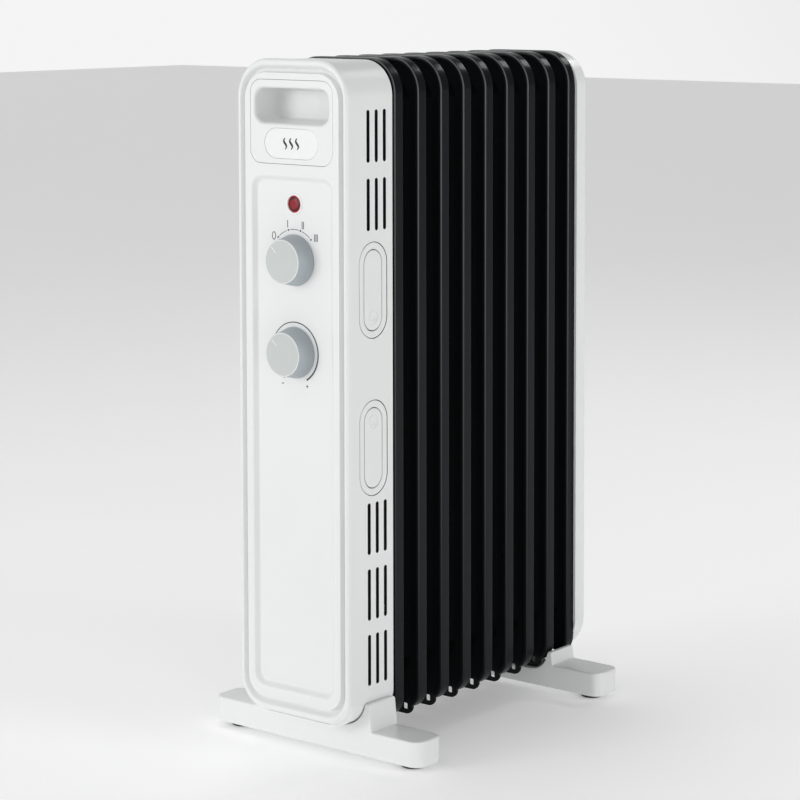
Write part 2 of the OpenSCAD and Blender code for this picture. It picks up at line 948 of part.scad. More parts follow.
module rear_outline(inset) {
    r = rear_corner - inset;
    rounded(rear_half - inset, rear_bottom + inset, rear_top - inset, r, r);
}

module rear_cover() {
    lip = rear_half - fin_half - line_gap;
    color(white) from_face() difference() {
        union() {
            difference() {
                extrude_y(rear_front, rear_back) rear_outline(0);
                extrude_y(rear_front - 1, rear_inner) rear_outline(shell_wall);
            }
            for (side = [-1, 1]) {
                translate([side * (rear_half - lip / 2), rear_front, (rear_bottom + rear_top) / 2])
                    cube([lip, 2 * rear_lip, rear_top - rear_bottom - 2 * rear_corner], center = true);
            }
            at_side_screws() rod_y(0, 0, screw_boss_r + 1, boss_back, rear_back - 1);
        }
        at_side_screws() {
            rod_y(0, 0, screw_r, boss_back - 1, rear_back);
            rod_y(0, 0, screw_head_r + 0.5, rear_inner - 0.5, rear_back + 1);
        }
    }
}

module rear_cover_screws() {
    color(steel) from_face() at_side_screws() {
        rod_y(0, 0, screw_r, boss_back - 5, rear_inner - 0.5);
        rod_y(0, 0, screw_head_r, rear_inner - 0.5, rear_inner - 0.5 + screw_head);
    }
}

// ---- Feet ----

// Outline seen from the front: two arms and a shoulder on each side of the saddle.
module foot_profile(shoulder_top) {
    shoulder = housing_half + shoulder_wall;
    polygon([
        [-foot_half, pad_height],
        [foot_half, pad_height],
        [foot_half, foot_top],
        [shoulder + shoulder_flare, foot_top],
        [shoulder, shoulder_top],
        [-shoulder, shoulder_top],
        [-shoulder - shoulder_flare, foot_top],
        [-foot_half, foot_top]
    ]);
}

// Block with round upright corners, centred on X = 0.
module foot_plan(half, y0, y1, r, z0, z1) {
    translate([0, 0, z0]) linear_extrude(z1 - z0) rounded(half, y0, y1, r, r);
}

module foot_pad_bosses(y) {
    for (side = [-1, 1]) {
        rod_z(side * pad_spread / 2, y, pad_boss_r, pad_height, foot_top - 1);
    }
}

module foot_peg_holes(y) {
    for (side = [-1, 1]) {
        rod_z(side * pad_spread / 2, y, pad_peg_r, pad_height - 1, pad_height + pad_peg + 0.5);
    }
}

module front_foot() {
    y1 = front_foot_y + foot_depth;
    ceiling = foot_top - foot_wall;
    r_saddle = housing_corner_bottom + saddle_gap;
    color(white) from_face() difference() {
        union() {
            difference() {
                intersection() {
                    extrude_y(front_foot_y, y1) foot_profile(front_shoulder);
                    foot_plan(foot_half, front_foot_y, y1, foot_corner, 0, front_shoulder + 1);
                }
                extrude_y(front_foot_y - 1, y1 + 1)
                    rounded(housing_half + saddle_gap, housing_bottom - saddle_gap, 200, 10, r_saddle);
                foot_plan(foot_half - foot_wall, front_foot_y + foot_wall, y1 - foot_wall,
                    foot_corner - foot_wall, 0, ceiling);
            }
            foot_pad_bosses(front_foot_middle);
            block(-foot_screw_x - 4, foot_screw_x + 4, front_foot_y + 1, y1 - 1, ceiling, housing_bottom);
        }
        foot_peg_holes(front_foot_middle);
        for (side = [-1, 1]) {
            rod_z(side * foot_screw_x, front_foot_middle, screw_r, ceiling - 1, housing_bottom + 1);
        }
    }
}

module front_foot_screws() {
    ceiling = foot_top - foot_wall;
    color(steel) from_face() for (side = [-1, 1]) {
        rod_z(side * foot_screw_x, front_foot_middle, screw_r, ceiling, foot_boss_top - 2.5);
        rod_z(side * foot_screw_x, front_foot_middle, screw_head_r, ceiling - screw_head, ceiling);
    }
}

module rear_foot() {
    y1 = rear_foot_y + foot_depth;
    arm_start = housing_half + shoulder_wall;
    color(white) from_face() difference() {
        union() {
            difference() {
                intersection() {
                    extrude_y(rear_foot_y, y1) foot_profile(rear_shoulder);
                    foot_plan(foot_half, rear_foot_y, y1, foot_corner, 0, rear_shoulder + 1);
                }
                extrude_y(rear_foot_y - 1, y1 + 1)
                    rounded(fin_half + saddle_gap, web_bottom, 200, 10, fin_corner_bottom + 1);
                intersection() {
                    foot_plan(foot_half - foot_wall, rear_foot_y + foot_wall, y1 - foot_wall,
                        foot_corner - foot_wall, 0, foot_top - foot_wall);
                    union() {
                        block(-foot_half, foot_half, 0, rear_back, 0, web_bottom - seat_wall);
                        block(-foot_half, -arm_start, 0, rear_back, 0, foot_top);
                        block(arm_start, foot_half, 0, rear_back, 0, foot_top);
                    }
                }
            }
            foot_pad_bosses(rear_foot_middle);
        }
        foot_peg_holes(rear_foot_middle);
        for (side = [-1, 1]) {
            rod_z(side * clamp_x, clamp_y, clamp_r + line_gap, 0, web_bottom + 1);
        }
    }
}

// Round bar bent over the lower collars, with both ends down through the foot.
module rear_clamp() {
    color(steel) from_face() {
        translate([0, clamp_y, lower_header]) rotate([90, 0, 0]) rotate_extrude(angle = 180)
            translate([clamp_x, 0]) circle(clamp_r);
        for (side = [-1, 1]) {
            rod_z(side * clamp_x, clamp_y, clamp_r, clamp_bottom, lower_header);
        }
    }
}

module wing_nuts() {
    ceiling = web_bottom - seat_wall;
    color(steel) from_face() for (side = [-1, 1]) {
        difference() {
            union() {
                rod_z(side * clamp_x, clamp_y, wing_hub_r, ceiling - wing_hub_height, ceiling);
                block(side * clamp_x - wing_reach, side * clamp_x + wing_reach, clamp_y - 1, clamp_y + 1,
                    ceiling - wing_drop, ceiling - 1);
            }
            rod_z(side * clamp_x, clamp_y, clamp_r, 0, ceiling + 1);
        }
    }
}

module pad(side, y) {
    color("#202122") from_face() translate([side * pad_spread / 2, y, 0]) {
        cylinder(r1 = pad_r - pad_taper, r2 = pad_r, h = pad_height);
        cylinder(r = pad_peg_r, h = pad_height + pad_peg);
    }
}

// ---- Sub-parts ----

front_panel();
control_housing();
handle_plate();
badge_plate();
lamp_bezel();
lamp_lens();
neon_lamp();
heat_knob();
heat_shaft();
heat_switch();
thermostat_knob();
thermostat_shaft();
thermostat();
control_nuts();
hook_cup(1);  // upper_hook_cup
hook(1);  // upper_hook
hook_pin(1);  // upper_hook_pin
hook_cup(-1);  // lower_hook_cup
hook(-1);  // lower_hook
hook_pin(-1);  // lower_hook_pin
for (index = [0:fin_count - 1]) {
    fin(index);
}
heating_element(low_z, low_pin_front);  // low_heating_element
heating_element(high_z, high_pin_front);  // high_heating_element
element_flange();
thermal_cutout();
rear_header_caps();
filler_plug();
heat_shield();
terminal_block();
internal_leads();
cord_gland();
rear_cover();
front_foot();
rear_foot();
rear_clamp();
wing_nuts();
panel_screws();
housing_screws();
front_foot_screws();
rear_cover_screws();
pad(-1, front_foot_middle);  // front_left_pad
pad(1, front_foot_middle);  // front_right_pad
pad(-1, rear_foot_middle);  // rear_left_pad
pad(1, rear_foot_middle);  // rear_right_pad
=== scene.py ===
import math

import bmesh
import bpy
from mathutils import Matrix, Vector


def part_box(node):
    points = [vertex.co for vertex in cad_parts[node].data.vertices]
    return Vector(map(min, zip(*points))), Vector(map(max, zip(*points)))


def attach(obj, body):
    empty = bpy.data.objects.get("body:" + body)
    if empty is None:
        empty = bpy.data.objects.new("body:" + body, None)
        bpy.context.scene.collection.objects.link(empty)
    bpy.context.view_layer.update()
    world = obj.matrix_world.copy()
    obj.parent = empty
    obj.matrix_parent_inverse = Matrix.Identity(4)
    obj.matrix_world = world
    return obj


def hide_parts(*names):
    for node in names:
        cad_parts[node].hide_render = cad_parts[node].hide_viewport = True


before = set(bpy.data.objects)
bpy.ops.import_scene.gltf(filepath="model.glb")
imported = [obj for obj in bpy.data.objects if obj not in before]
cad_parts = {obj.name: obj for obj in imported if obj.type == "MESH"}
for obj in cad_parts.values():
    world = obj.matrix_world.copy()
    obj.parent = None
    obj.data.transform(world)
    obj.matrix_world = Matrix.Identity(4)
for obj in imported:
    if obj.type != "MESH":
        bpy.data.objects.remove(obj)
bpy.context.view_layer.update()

# ---- Sizes ----
# Millimetres: x across the heater, y from the panel's face towards the rear, z up from the floor.

MM = 0.001
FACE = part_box("front_panel")[0].y


def span(node):
    """Lowest and highest corner of a CAD node, in millimetres from the panel's face."""
    low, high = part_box(node)
    shift = Vector((0, FACE, 0))
    return (low - shift) / MM, (high - shift) / MM


def middle_height(node):
    low, high = span(node)
    return (low.z + high.z) / 2


PANEL_LOW, PANEL_HIGH = span("front_panel")
HOUSING_LOW, HOUSING_HIGH = span("control_housing")
HANDLE_LOW, HANDLE_HIGH = span("handle_plate")
BADGE_LOW, BADGE_HIGH = span("badge_plate")
KNOB_LOW, KNOB_HIGH = span("heat_knob")
REAR_LOW, REAR_HIGH = span("rear_cover")
TOP = PANEL_HIGH.z
PANEL_BACK = HOUSING_LOW.y
HOUSING_BACK = span("heat_shield")[0].y
WALL = 2.5

# Panel
PANEL_TOP_RADIUS = 34
PANEL_LOW_RADIUS = 22
PANEL_DRAFT = 2.5
RIM_ROUND = 2.2
GROOVE_START = 3.2
GROOVE_WIDTH = 6.3
GROOVE_DEPTH = 5.2
# Section of the groove, as shares of its width and depth: a slow fall, then a steep far wall.
GROOVE_FALL = ((0.0, 0.0), (0.08, 0.02), (0.18, 0.12), (0.3, 0.38), (0.4, 0.66), (0.5, 0.88), (0.6, 0.98))
GROOVE_RISE = ((0.7, 1.0), (0.79, 0.96), (0.85, 0.82), (0.89, 0.55))
GROOVE_EDGE = ((0.92, 0.25), (0.945, 0.09), (0.97, 0.02), (1.0, 0.0))
FIELD_HALF = 48
FIELD_LOW = 57
FIELD_HIGH = TOP - 102.5
FIELD_DEPTH = 3.8
FIELD_SLOPE = 5.5
FIELD_RADIUS = 12

# Handle
HANDLE_RADIUS = 12
POCKET_HALF = 42.5
POCKET_LOW = TOP - 56.5
POCKET_HIGH = TOP - 26.1
POCKET_RADIUS = 10
POCKET_DEPTH = 30.5
CUP_WALL = 2.2

# Controls
LAMP_Z = middle_height("lamp_lens")
HEAT_Z = middle_height("heat_knob")
THERMOSTAT_Z = middle_height("thermostat_knob")
LAMP_RADIUS = 7.8
BUSHING_RADIUS = 4.75
DIAL_RADIUS = 27.2
HEAT_STOPS = (-45, -15, 15, 45)
REST_ANGLE = HEAT_STOPS[0]
INK_PROUD = 0.06
INK_DEPTH = 0.25

# Housing, vents and cord hooks
HOUSING_TOP_RADIUS = 31
HOUSING_LOW_RADIUS = 27.5
VENT_HEIGHTS = (90.4, 149.3, 208.4, TOP - 126.9, TOP - 66.9)
VENT_MIDDLE = 42.1
VENT_LENGTH = 46.3
VENT_WIDTH = 4.2
VENT_PITCH = 11.1
HOOK_Y = 37.4
HOOK_MIDDLE = TOP - 272.35
HOOK_NEAR = 46.25
HOOK_FAR = HOOK_NEAR + 47.4
CUP_BOTTOM = span("upper_hook_cup")[0].x
CUP_RADIUS = 18.9
FLAP_RADIUS = 12

# Fins
FIN_COUNT = 9
FIN_PITCH = span("fin_3")[0].y - span("fin_2")[0].y
FIN_DEPTH = 12
FIN_HALF = span("fin_2")[1].x
FIN_LOW = 27
FIN_TOP_RADIUS = 31
FIN_LOW_RADIUS = 20
TAB_HALF = 50
TAB_LOW = 21
TAB_RADIUS = 8
WEB_HALF = 0.8
CHANNEL_SPREAD = 33
CHANNEL_RADIUS = 14
FIRST_FIN = span("fin_1")[1].y - FIN_PITCH / 2 - FIN_DEPTH / 2
LOWER_HEADER = 75
UPPER_HEADER = TOP - 37.5

# Rear cover
REAR_RADIUS = 33.5
REAR_SCREW_X = 52
REAR_SCREW_HEIGHTS = (130, TOP - 102.5)
REAR_SCREW_RADIUS = 4.0

# Feet
FOOT_TOP = 27.8
FOOT_CORNER = 11
FOOT_SOFT = 1.8
PAD_HEIGHT = 5


# ---- Finishes ----


class Value:
    """A socket that takes part in Python arithmetic."""

    def __init__(self, finish, socket):
        self.finish = finish
        self.socket = socket

    def math(self, operation, left, right=0.0):
        return self.finish.node("ShaderNodeMath", {"operation": operation}, {0: left, 1: right})

    def __add__(self, other):
        return self.math("ADD", self, other)

    def __radd__(self, other):
        return self.math("ADD", other, self)

    def __sub__(self, other):
        return self.math("SUBTRACT", self, other)

    def __rsub__(self, other):
        return self.math("SUBTRACT", other, self)

    def __mul__(self, other):
        return self.math("MULTIPLY", self, other)

    def __rmul__(self, other):
        return self.math("MULTIPLY", other, self)

    def __gt__(self, other):
        return self.math("GREATER_THAN", self, other)

    def __lt__(self, other):
        return self.math("LESS_THAN", self, other)


class Finish:
    """A procedural material around one Principled shader."""

    def __init__(self, name, **settings):
        self.material = bpy.data.materials.new(name)
        self.material.use_nodes = True
        self.tree = self.material.node_tree
        self.shader = self.tree.nodes["Principled BSDF"]
        for socket, value in settings.items():
            self.shader.inputs[socket.replace("_", " ")].default_value = value
        self.place = self.node("ShaderNodeTexCoord", output="Object")

    def feed(self, socket, value):
        if isinstance(value, Value):
            self.tree.links.new(value.socket, socket)
        else:
            socket.default_value = value

    def node(self, kind, settings=None, inputs=None, output=0):
        made = self.tree.nodes.new(kind)
        for key, value in (settings or {}).items():
            setattr(made, key, value)
        for key, value in (inputs or {}).items():
            self.feed(made.inputs[key], value)
        return Value(self, made.outputs[output])

    def marks(self, name):
        """1 on the faces that carry the named mark, 0 elsewhere."""
        return self.node("ShaderNodeAttribute", {"attribute_name": name}, output="Fac")

    def noise(self, scale, detail=2.0, roughness=0.5):
        inputs = {"Vector": self.place, "Scale": scale, "Detail": detail, "Roughness": roughness}
        return self.node("ShaderNodeTexNoise", None, inputs)

    def cells(self, scale, output="Distance"):
        return self.node("ShaderNodeTexVoronoi", None, {"Vector": self.place, "Scale": scale}, output)

    def stretched(self, scale):
        return self.node("ShaderNodeVectorMath", {"operation": "MULTIPLY"}, {0: self.place, 1: scale})

    def blend(self, factor, first, second):
        made = self.tree.nodes.new("ShaderNodeMix")
        made.data_type = "RGBA"
        colours = [socket for socket in made.inputs if socket.type == "RGBA"]
        self.feed(made.inputs["Factor"], factor)
        self.feed(colours[0], first)
        self.feed(colours[1], second)
        return Value(self, [socket for socket in made.outputs if socket.type == "RGBA"][0])

    def between(self, value, low, high):
        """Maps 0..1 to low..high."""
        return value * (high - low) + low

    def set(self, socket, value):
        self.feed(self.shader.inputs[socket], value)

    def bump(self, height, depth, strength=1.0):
        inputs = {"Height": height, "Distance": depth, "Strength": strength}
        self.set("Normal", self.node("ShaderNodeBump", None, inputs))


def colour(red, green, blue):
    return (red, green, blue, 1.0)


def moulded(name, light, dark, rough, grain=0.00003, grain_scale=1500, coat=0.0):
    """Moulded plastic: a soft mottle in its colour, a fine spark-eroded grain, and painted shade on faces
    marked inside.
    """
    finish = Finish(name, Coat_Weight=coat, Coat_Roughness=0.25)
    cloud = finish.noise(9, 3)
    # Faces marked inside get a near-black painted shade, standing in for the shade inside the housing.
    painted_shade = colour(0.012, 0.012, 0.013)
    finish.set("Base Color", finish.blend(finish.marks("inside"), finish.blend(cloud, light, dark), painted_shade))
    grains = finish.noise(grain_scale, 2, 0.6)
    finish.set("Roughness", finish.between(cloud * 0.5 + grains * 0.5, rough - 0.05, rough + 0.05))
    finish.bump(grains + finish.noise(40, 1) * 1.5, grain)
    return finish.material


def knob_grey():
    """Grey knob plastic: smooth cap, a painted highlight on its edge, and a coarser grip with painted shade.
    """
    finish = Finish("grey_plastic")
    cloud = finish.noise(12, 3)
    grains = finish.noise(900, 3, 0.7)
    grip = finish.marks("grip")
    cap = finish.blend(cloud, colour(0.58, 0.61, 0.60), colour(0.54, 0.57, 0.56))
    # The grip side gets a darker, bluer colour than the cap: painted shade where the sides turn from the
    # light.
    side = finish.blend(grains, colour(0.34, 0.38, 0.41), colour(0.47, 0.515, 0.545))
    body = finish.blend(grip, cap, side)
    # Faces marked edge get a pale painted highlight.
    finish.set("Base Color", finish.blend(finish.marks("edge"), body, colour(0.80, 0.82, 0.82)))
    finish.set("Roughness", finish.between(grains, 0.36, 0.48))
    finish.bump(grains * grip * 2.0 + grains * 0.5, 0.00005)
    return finish.material


def enamel(name):
    """Gloss black enamel with orange peel and dust, and a pale painted highlight on the marked edges,
    stronger higher up.
    """
    finish = Finish(name, Specular_IOR_Level=0.05, Coat_Weight=0.1, Coat_Roughness=0.08)
    peel = finish.noise(330, 2, 0.5)
    cloud = finish.noise(14, 4)
    dust = finish.cells(900) > 0.93
    height = finish.node("ShaderNodeSeparateXYZ", None, {0: finish.place}, "Z") * (1 / (TOP * MM))
    black = finish.blend(cloud, colour(0.0085, 0.0095, 0.0105), colour(0.0115, 0.0127, 0.014))
    dusty = finish.blend(dust * 0.35, black, colour(0.05, 0.05, 0.05))
    # Marked front edges get a pale painted highlight, stronger towards the top, standing in for the light
    # they catch.
    wear_and_painted_highlight = finish.marks("edge") * height
    finish.set("Base Color", finish.blend(wear_and_painted_highlight, dusty, colour(0.12, 0.125, 0.13)))
    finish.set("Roughness", finish.between(cloud * 0.6 + peel * 0.4, 0.2, 0.3))
    finish.bump(peel + finish.noise(45, 2) * 2.0, 0.00008, 0.5)
    return finish.material


def plated(name, light, dark, rough, scale):
    """Zinc plating or galvanised sheet with its crystal spangle and handling marks."""
    finish = Finish(name, Metallic=1.0)
    spangle = finish.cells(scale, "Color")
    grey = finish.node("ShaderNodeRGBToBW", None, {0: spangle})
    marks = finish.noise(60, 4, 0.65)
    finish.set("Base Color", finish.blend(grey * 0.6 + marks * 0.4, light, dark))
    finish.set("Roughness", finish.between(grey * 0.5 + marks * 0.5, rough - 0.08, rough + 0.12))
    finish.bump(marks + finish.noise(700, 2) * 0.4, 0.00004)
    return finish.material


def rubbery(name, light, dark):
    """Matte rubber with a dusty bloom."""
    finish = Finish(name)
    bloom = finish.noise(70, 4, 0.6)
    finish.set("Base Color", finish.blend(bloom, light, dark))
    finish.set("Roughness", finish.between(bloom, 0.62, 0.82))
    finish.bump(finish.noise(1100, 2), 0.00004)
    return finish.material


def lens_red():
    """Clear red lens: a dark prism ring round a brighter middle, and a lit edge."""
    finish = Finish("red_lens", Specular_IOR_Level=0.15, Coat_Weight=0.15, Coat_Roughness=0.06)
    across = finish.stretched((1.0, 0.0, 1.0))
    inputs = {0: across, 1: (0, 0, LAMP_Z * MM)}
    centre = finish.node("ShaderNodeVectorMath", {"operation": "SUBTRACT"}, inputs)
    radius = finish.node("ShaderNodeVectorMath", {"operation": "LENGTH"}, {0: centre}, "Value")
    share = radius * (1 / (LAMP_RADIUS * MM))
    prisms = finish.cells(900)
    ring = (share > 0.6) * (share < 0.84)
    body = finish.blend(prisms, colour(0.34, 0.03, 0.035), colour(0.20, 0.012, 0.018))
    ringed = finish.blend(ring * 0.85, body, colour(0.045, 0.012, 0.014))
    finish.set("Base Color", finish.blend(share > 0.84, ringed, colour(0.45, 0.012, 0.018)))
    finish.set("Roughness", finish.between(prisms, 0.14, 0.24))
    finish.bump(prisms, 0.0002, 0.5)
    return finish.material


def printed(name, shade):
    """Printed ink, a little uneven."""
    finish = Finish(name)
    wear_and_painted_highlight = finish.noise(600, 3)
    dark = colour(shade * 0.8, shade * 0.85, shade * 0.9)
    finish.set("Base Color", finish.blend(wear_and_painted_highlight, dark, colour(shade, shade * 1.05, shade * 1.1)))
    finish.set("Roughness", finish.between(wear_and_painted_highlight, 0.45, 0.6))
    return finish.material


WHITE = moulded("white_plastic", colour(0.84, 0.85, 0.85), colour(0.80, 0.81, 0.81), 0.36, coat=0.15)
PALE = moulded("pale_plastic", colour(0.87, 0.88, 0.88), colour(0.84, 0.85, 0.85), 0.28, coat=0.25)
GREY = knob_grey()
DARK = moulded("dark_plastic", colour(0.03, 0.032, 0.034), colour(0.02, 0.021, 0.023), 0.45)
CERAMIC = moulded("ceramic", colour(0.62, 0.56, 0.44), colour(0.55, 0.49, 0.38), 0.6, 0.00006, 900)
BLACK = enamel("black_enamel")
STEEL = plated("steel", colour(0.62, 0.63, 0.64), colour(0.46, 0.47, 0.48), 0.32, 420)
ZINC = plated("zinc_sheet", colour(0.60, 0.62, 0.64), colour(0.44, 0.46, 0.48), 0.4, 110)
HOT_STEEL = plated("element_steel", colour(0.36, 0.34, 0.31), colour(0.22, 0.21, 0.2), 0.45, 300)
BRASS = plated("brass", colour(0.66, 0.5, 0.24), colour(0.52, 0.38, 0.17), 0.3, 350)
RUBBER = rubbery("black_rubber", colour(0.022, 0.022, 0.024), colour(0.012, 0.012, 0.013))
LEADS = rubbery("lead_rubber", colour(0.40, 0.08, 0.05), colour(0.30, 0.06, 0.04))
AMBER = moulded("lamp_glass", colour(0.8, 0.42, 0.22), colour(0.7, 0.34, 0.18), 0.15, coat=0.6)
LENS = lens_red()
INK = printed("ink", 0.06)
BLACK_INK = printed("black_ink", 0.01)
WHITE_INK = printed("white_ink", 0.85)


# ---- Meshes ----


def place(x, y, z):
    return Vector((x * MM, FACE + y * MM, z * MM))


def arc(x, z, radius, start, end, steps):
    """Points (x, z) along part of a circle; angles in degrees from +x."""
    turns = [math.radians(start + (end - start) * step / steps) for step in range(steps + 1)]
    return [(x + radius * math.cos(turn), z + radius * math.sin(turn)) for turn in turns]


def rounded(half, low, high, r_top, r_low, steps=12):
    """Points (x, z) round a rectangle with round corners, symmetrical about x = 0."""
    corners = (
        (half - r_top, high - r_top, r_top, 0),
        (r_top - half, high - r_top, r_top, 90),
        (r_low - half, low + r_low, r_low, 180),
        (half - r_low, low + r_low, r_low, 270),
    )
    points = []
    for x, z, radius, start in corners:
        points += arc(x, z, radius, start, start + 90, steps)
    return points


def circle(x, z, radius, steps=32):
    turns = [2 * math.pi * step / steps for step in range(steps)]
    return [(x + radius * math.cos(turn), z + radius * math.sin(turn)) for turn in turns]


def flat_pill(half, low, high, inset=0.0, steps=16):
    """Points (x, z) round a lying pill."""
    radius = (high - low) / 2 - inset
    return rounded(half - inset, low + inset, high - inset, radius - 0.001, radius - 0.001, steps)


def tall_pill(middle, near, far, radius, steps=12):
    """Points (y, z) round an upright pill; near and far are the heights of its end centres."""
    low = min(near, far) - radius
    high = max(near, far) + radius
    return [(middle + u, z) for u, z in rounded(radius, low, high, radius - 0.001, radius - 0.001, steps)]


def eased(fraction):
    """Smooth step from 0 to 1 with level ends."""
    return (1 - math.cos(math.pi * fraction)) / 2


class Shell:
    """A closed surface in the making: loops of points, walls between them, flat fills."""

    def __init__(self):
        self.bm = bmesh.new()

    def loop(self, points):
        return [self.bm.verts.new(place(*point)) for point in points]

    def at_y(self, y, outline):
        return self.loop([(x, y, z) for x, z in outline])

    def at_x(self, x, outline):
        return self.loop([(x, y, z) for y, z in outline])

    def wall(self, *loops, closed=False):
        pairs = list(zip(loops, loops[1:]))
        if closed:
            pairs.append((loops[-1], loops[0]))
        for first, second in pairs:
            count = len(first)
            for index in range(count):
                after = (index + 1) % count
                self.bm.faces.new((first[index], first[after], second[after], second[index]))
        return loops[-1]

    def solid(self, *loops):
        """Walls between the loops, with both ends filled."""
        self.wall(*loops)
        self.fill(loops[0])
        self.fill(loops[-1])

    def strip(self, sections):
        """Skin over open sections that are closed loops themselves, with flat ends."""
        self.wall(*sections)
        self.bm.faces.new(sections[0])
        self.bm.faces.new(sections[-1])

    def fill(self, *loops):
        """Flat fill inside the first loop and outside the others."""
        edges = []
        for loop in loops:
            for index, vertex in enumerate(loop):
                pair = (vertex, loop[(index + 1) % len(loop)])
                edges.append(self.bm.edges.get(pair) or self.bm.edges.new(pair))
        bmesh.ops.triangle_fill(self.bm, use_beauty=True, use_dissolve=len(loops) == 1, edges=edges)

    def mesh(self, name):
        """The plain mesh, with its faces turned outwards."""
        bmesh.ops.recalc_face_normals(self.bm, faces=self.bm.faces)
        made = bpy.data.meshes.new(name)
        self.bm.to_mesh(made)
        self.bm.free()
        return made

    def piece(self, name, material, body, nodes=(), slot=None, sharp=32):
        bmesh.ops.remove_doubles(self.bm, verts=self.bm.verts, dist=1e-7)
        return settle(self.mesh(name), name, material, body, nodes, sharp)


def settle(mesh, name, material, body, nodes=(), sharp=32):
    """Makes a finished mesh a piece of the heater that rides on a body."""
    mesh.shade_smooth()
    mesh.set_sharp_from_angle(angle=math.radians(sharp))
    mesh.materials.clear()
    mesh.materials.append(material)
    piece = bpy.data.objects.new(name, mesh)
    bpy.context.scene.collection.objects.link(piece)
    weighted = piece.modifiers.new("even_faces", "WEIGHTED_NORMAL")
    weighted.keep_sharp = True
    weighted.weight = 80
    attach(piece, body)
    if nodes:
        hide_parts(*nodes)
    return piece


def turned(shell, z, profile, steps, closed=False):
    """Turns a profile of (radius, y) about an axis along y; open ends are filled."""
    loops = [shell.at_y(y, circle(0, z, radius, steps)) for radius, y in profile]
    if closed:
        shell.wall(*loops, closed=True)
    else:
        shell.solid(*loops)


def inlay(shell, outline, y):
    """Printed plate that stands a little proud of the surface at y."""
    shell.solid(shell.at_y(y - INK_PROUD, outline), shell.at_y(y + INK_DEPTH, outline))


# ---- Control panel ----


def panel_ring(inset, sink):
    """Outline of the panel; the rim is broader above and below than at the sides."""
    lift = 1.34 * inset
    tighter = 1.15 * inset
    low = PANEL_LOW.z + sink + lift
    r_low = PANEL_LOW_RADIUS + 2.4 * sink - tighter
    return rounded(PANEL_HIGH.x - inset, low, TOP - lift, PANEL_TOP_RADIUS - tighter, r_low, 16)


def field_ring(inset):
    radius = FIELD_RADIUS - 0.7 * inset
    return rounded(FIELD_HALF - inset, FIELD_LOW + inset, FIELD_HIGH - inset, radius, radius)


def handle_ring(inset):
    radius = HANDLE_RADIUS - inset
    low = HANDLE_LOW.z + inset
    return rounded(HANDLE_HIGH.x - inset, low, HANDLE_HIGH.z - inset, radius, radius)


def pocket_ring(inset):
    radius = POCKET_RADIUS - 0.6 * inset
    return rounded(POCKET_HALF - inset, POCKET_LOW + inset, POCKET_HIGH - inset, radius, radius)


def front_panel():
    """Panel with its raised rim, the groove inside it, the sunk field and the openings."""
    shell = Shell()
    loops = [shell.at_y(PANEL_BACK, panel_ring(0, 0)), shell.at_y(4.6, panel_ring(0, 0.5 * PANEL_DRAFT))]
    for step in range(7):
        turn = math.radians(90 * step / 6)
        ring = panel_ring(RIM_ROUND * (1 - math.cos(turn)), PANEL_DRAFT * (0.6 + 0.4 * math.sin(turn)))
        loops.append(shell.at_y(3.0 * (1 - math.sin(turn)), ring))
    for share, depth in GROOVE_FALL + GROOVE_RISE + GROOVE_EDGE:
        ring = panel_ring(GROOVE_START + GROOVE_WIDTH * share, PANEL_DRAFT)
        loops.append(shell.at_y(GROOVE_DEPTH * depth, ring))
    shell.wall(*loops)
    slope = []
    for step in range(9):
        slope.append(shell.at_y(FIELD_DEPTH * eased(step / 8), field_ring(FIELD_SLOPE * step / 8)))
    shell.wall(*slope)
    opening = [shell.at_y(y, handle_ring(-0.3)) for y in (0.0, PANEL_BACK)]
    shell.wall(*opening)
    shell.fill(loops[-1], slope[0], opening[0])
    holes = [(LAMP_Z, LAMP_RADIUS + 1.15), (HEAT_Z, BUSHING_RADIUS), (THERMOSTAT_Z, BUSHING_RADIUS)]
    fronts = [shell.at_y(FIELD_DEPTH, circle(0, z, radius)) for z, radius in holes]
    backs = [shell.at_y(PANEL_BACK, circle(0, z, radius)) for z, radius in holes]
    for front, back in zip(fronts, backs):
        shell.wall(front, back)
    shell.fill(slope[-1], *fronts)
    shell.fill(loops[0], opening[1], *backs)
    return shell.piece("fascia", WHITE, "radiator", ["front_panel"])


def handle_plate():
    """Plate with the finger pocket behind it and a seat for the badge."""
    shell = Shell()
    back = HANDLE_LOW.y + 2.7
    outer = [shell.at_y(back, handle_ring(0)), shell.at_y(0.45, handle_ring(0))]
    outer.append(shell.at_y(0.1, handle_ring(0.15)))
    outer.append(shell.at_y(0.0, handle_ring(0.5)))
    shell.wall(*outer)
    pocket = []
    for step in range(8):
        turn = math.radians(90 * step / 7)
        pocket.append(shell.at_y(3.4 * (1 - math.cos(turn)), pocket_ring(-2.6 * (1 - math.sin(turn)))))
    for step in range(7):
        turn = math.radians(90 * step / 6)
        depth = POCKET_DEPTH - 2 + 2 * math.sin(turn)
        pocket.append(shell.at_y(depth, pocket_ring(1.8 + 2 * (1 - math.cos(turn)))))
    shell.wall(*pocket)
    shell.fill(pocket[-1])
    badge = [shell.at_y(y, badge_ring(-0.18)) for y in (0.0, BADGE_HIGH.y)]
    shell.wall(*badge)
    shell.fill(badge[-1])
    shell.fill(outer[-1], pocket[0], badge[0])
    cup = [shell.at_y(y, pocket_ring(-CUP_WALL)) for y in (back, HANDLE_HIGH.y)]
    shell.wall(*cup)
    shell.fill(cup[-1])
    shell.fill(outer[0], cup[0])
    return shell.piece("handle", WHITE, "radiator", ["handle_plate"])


def badge_ring(inset):
    return flat_pill(BADGE_HIGH.x, BADGE_LOW.z, BADGE_HIGH.z, inset)


def badge():
    """Slightly domed badge with a rounded edge."""
    shell = Shell()
    loops = [shell.at_y(BADGE_HIGH.y, badge_ring(0)), shell.at_y(0.5, badge_ring(0))]
    for inset, y in ((0.12, 0.25), (0.4, 0.1), (0.9, 0.06), (3.0, 0.03), (7.0, 0.0)):
        loops.append(shell.at_y(y, badge_ring(inset)))
    shell.solid(*loops)
    return shell.piece("badge", PALE, "radiator", ["badge_plate"])


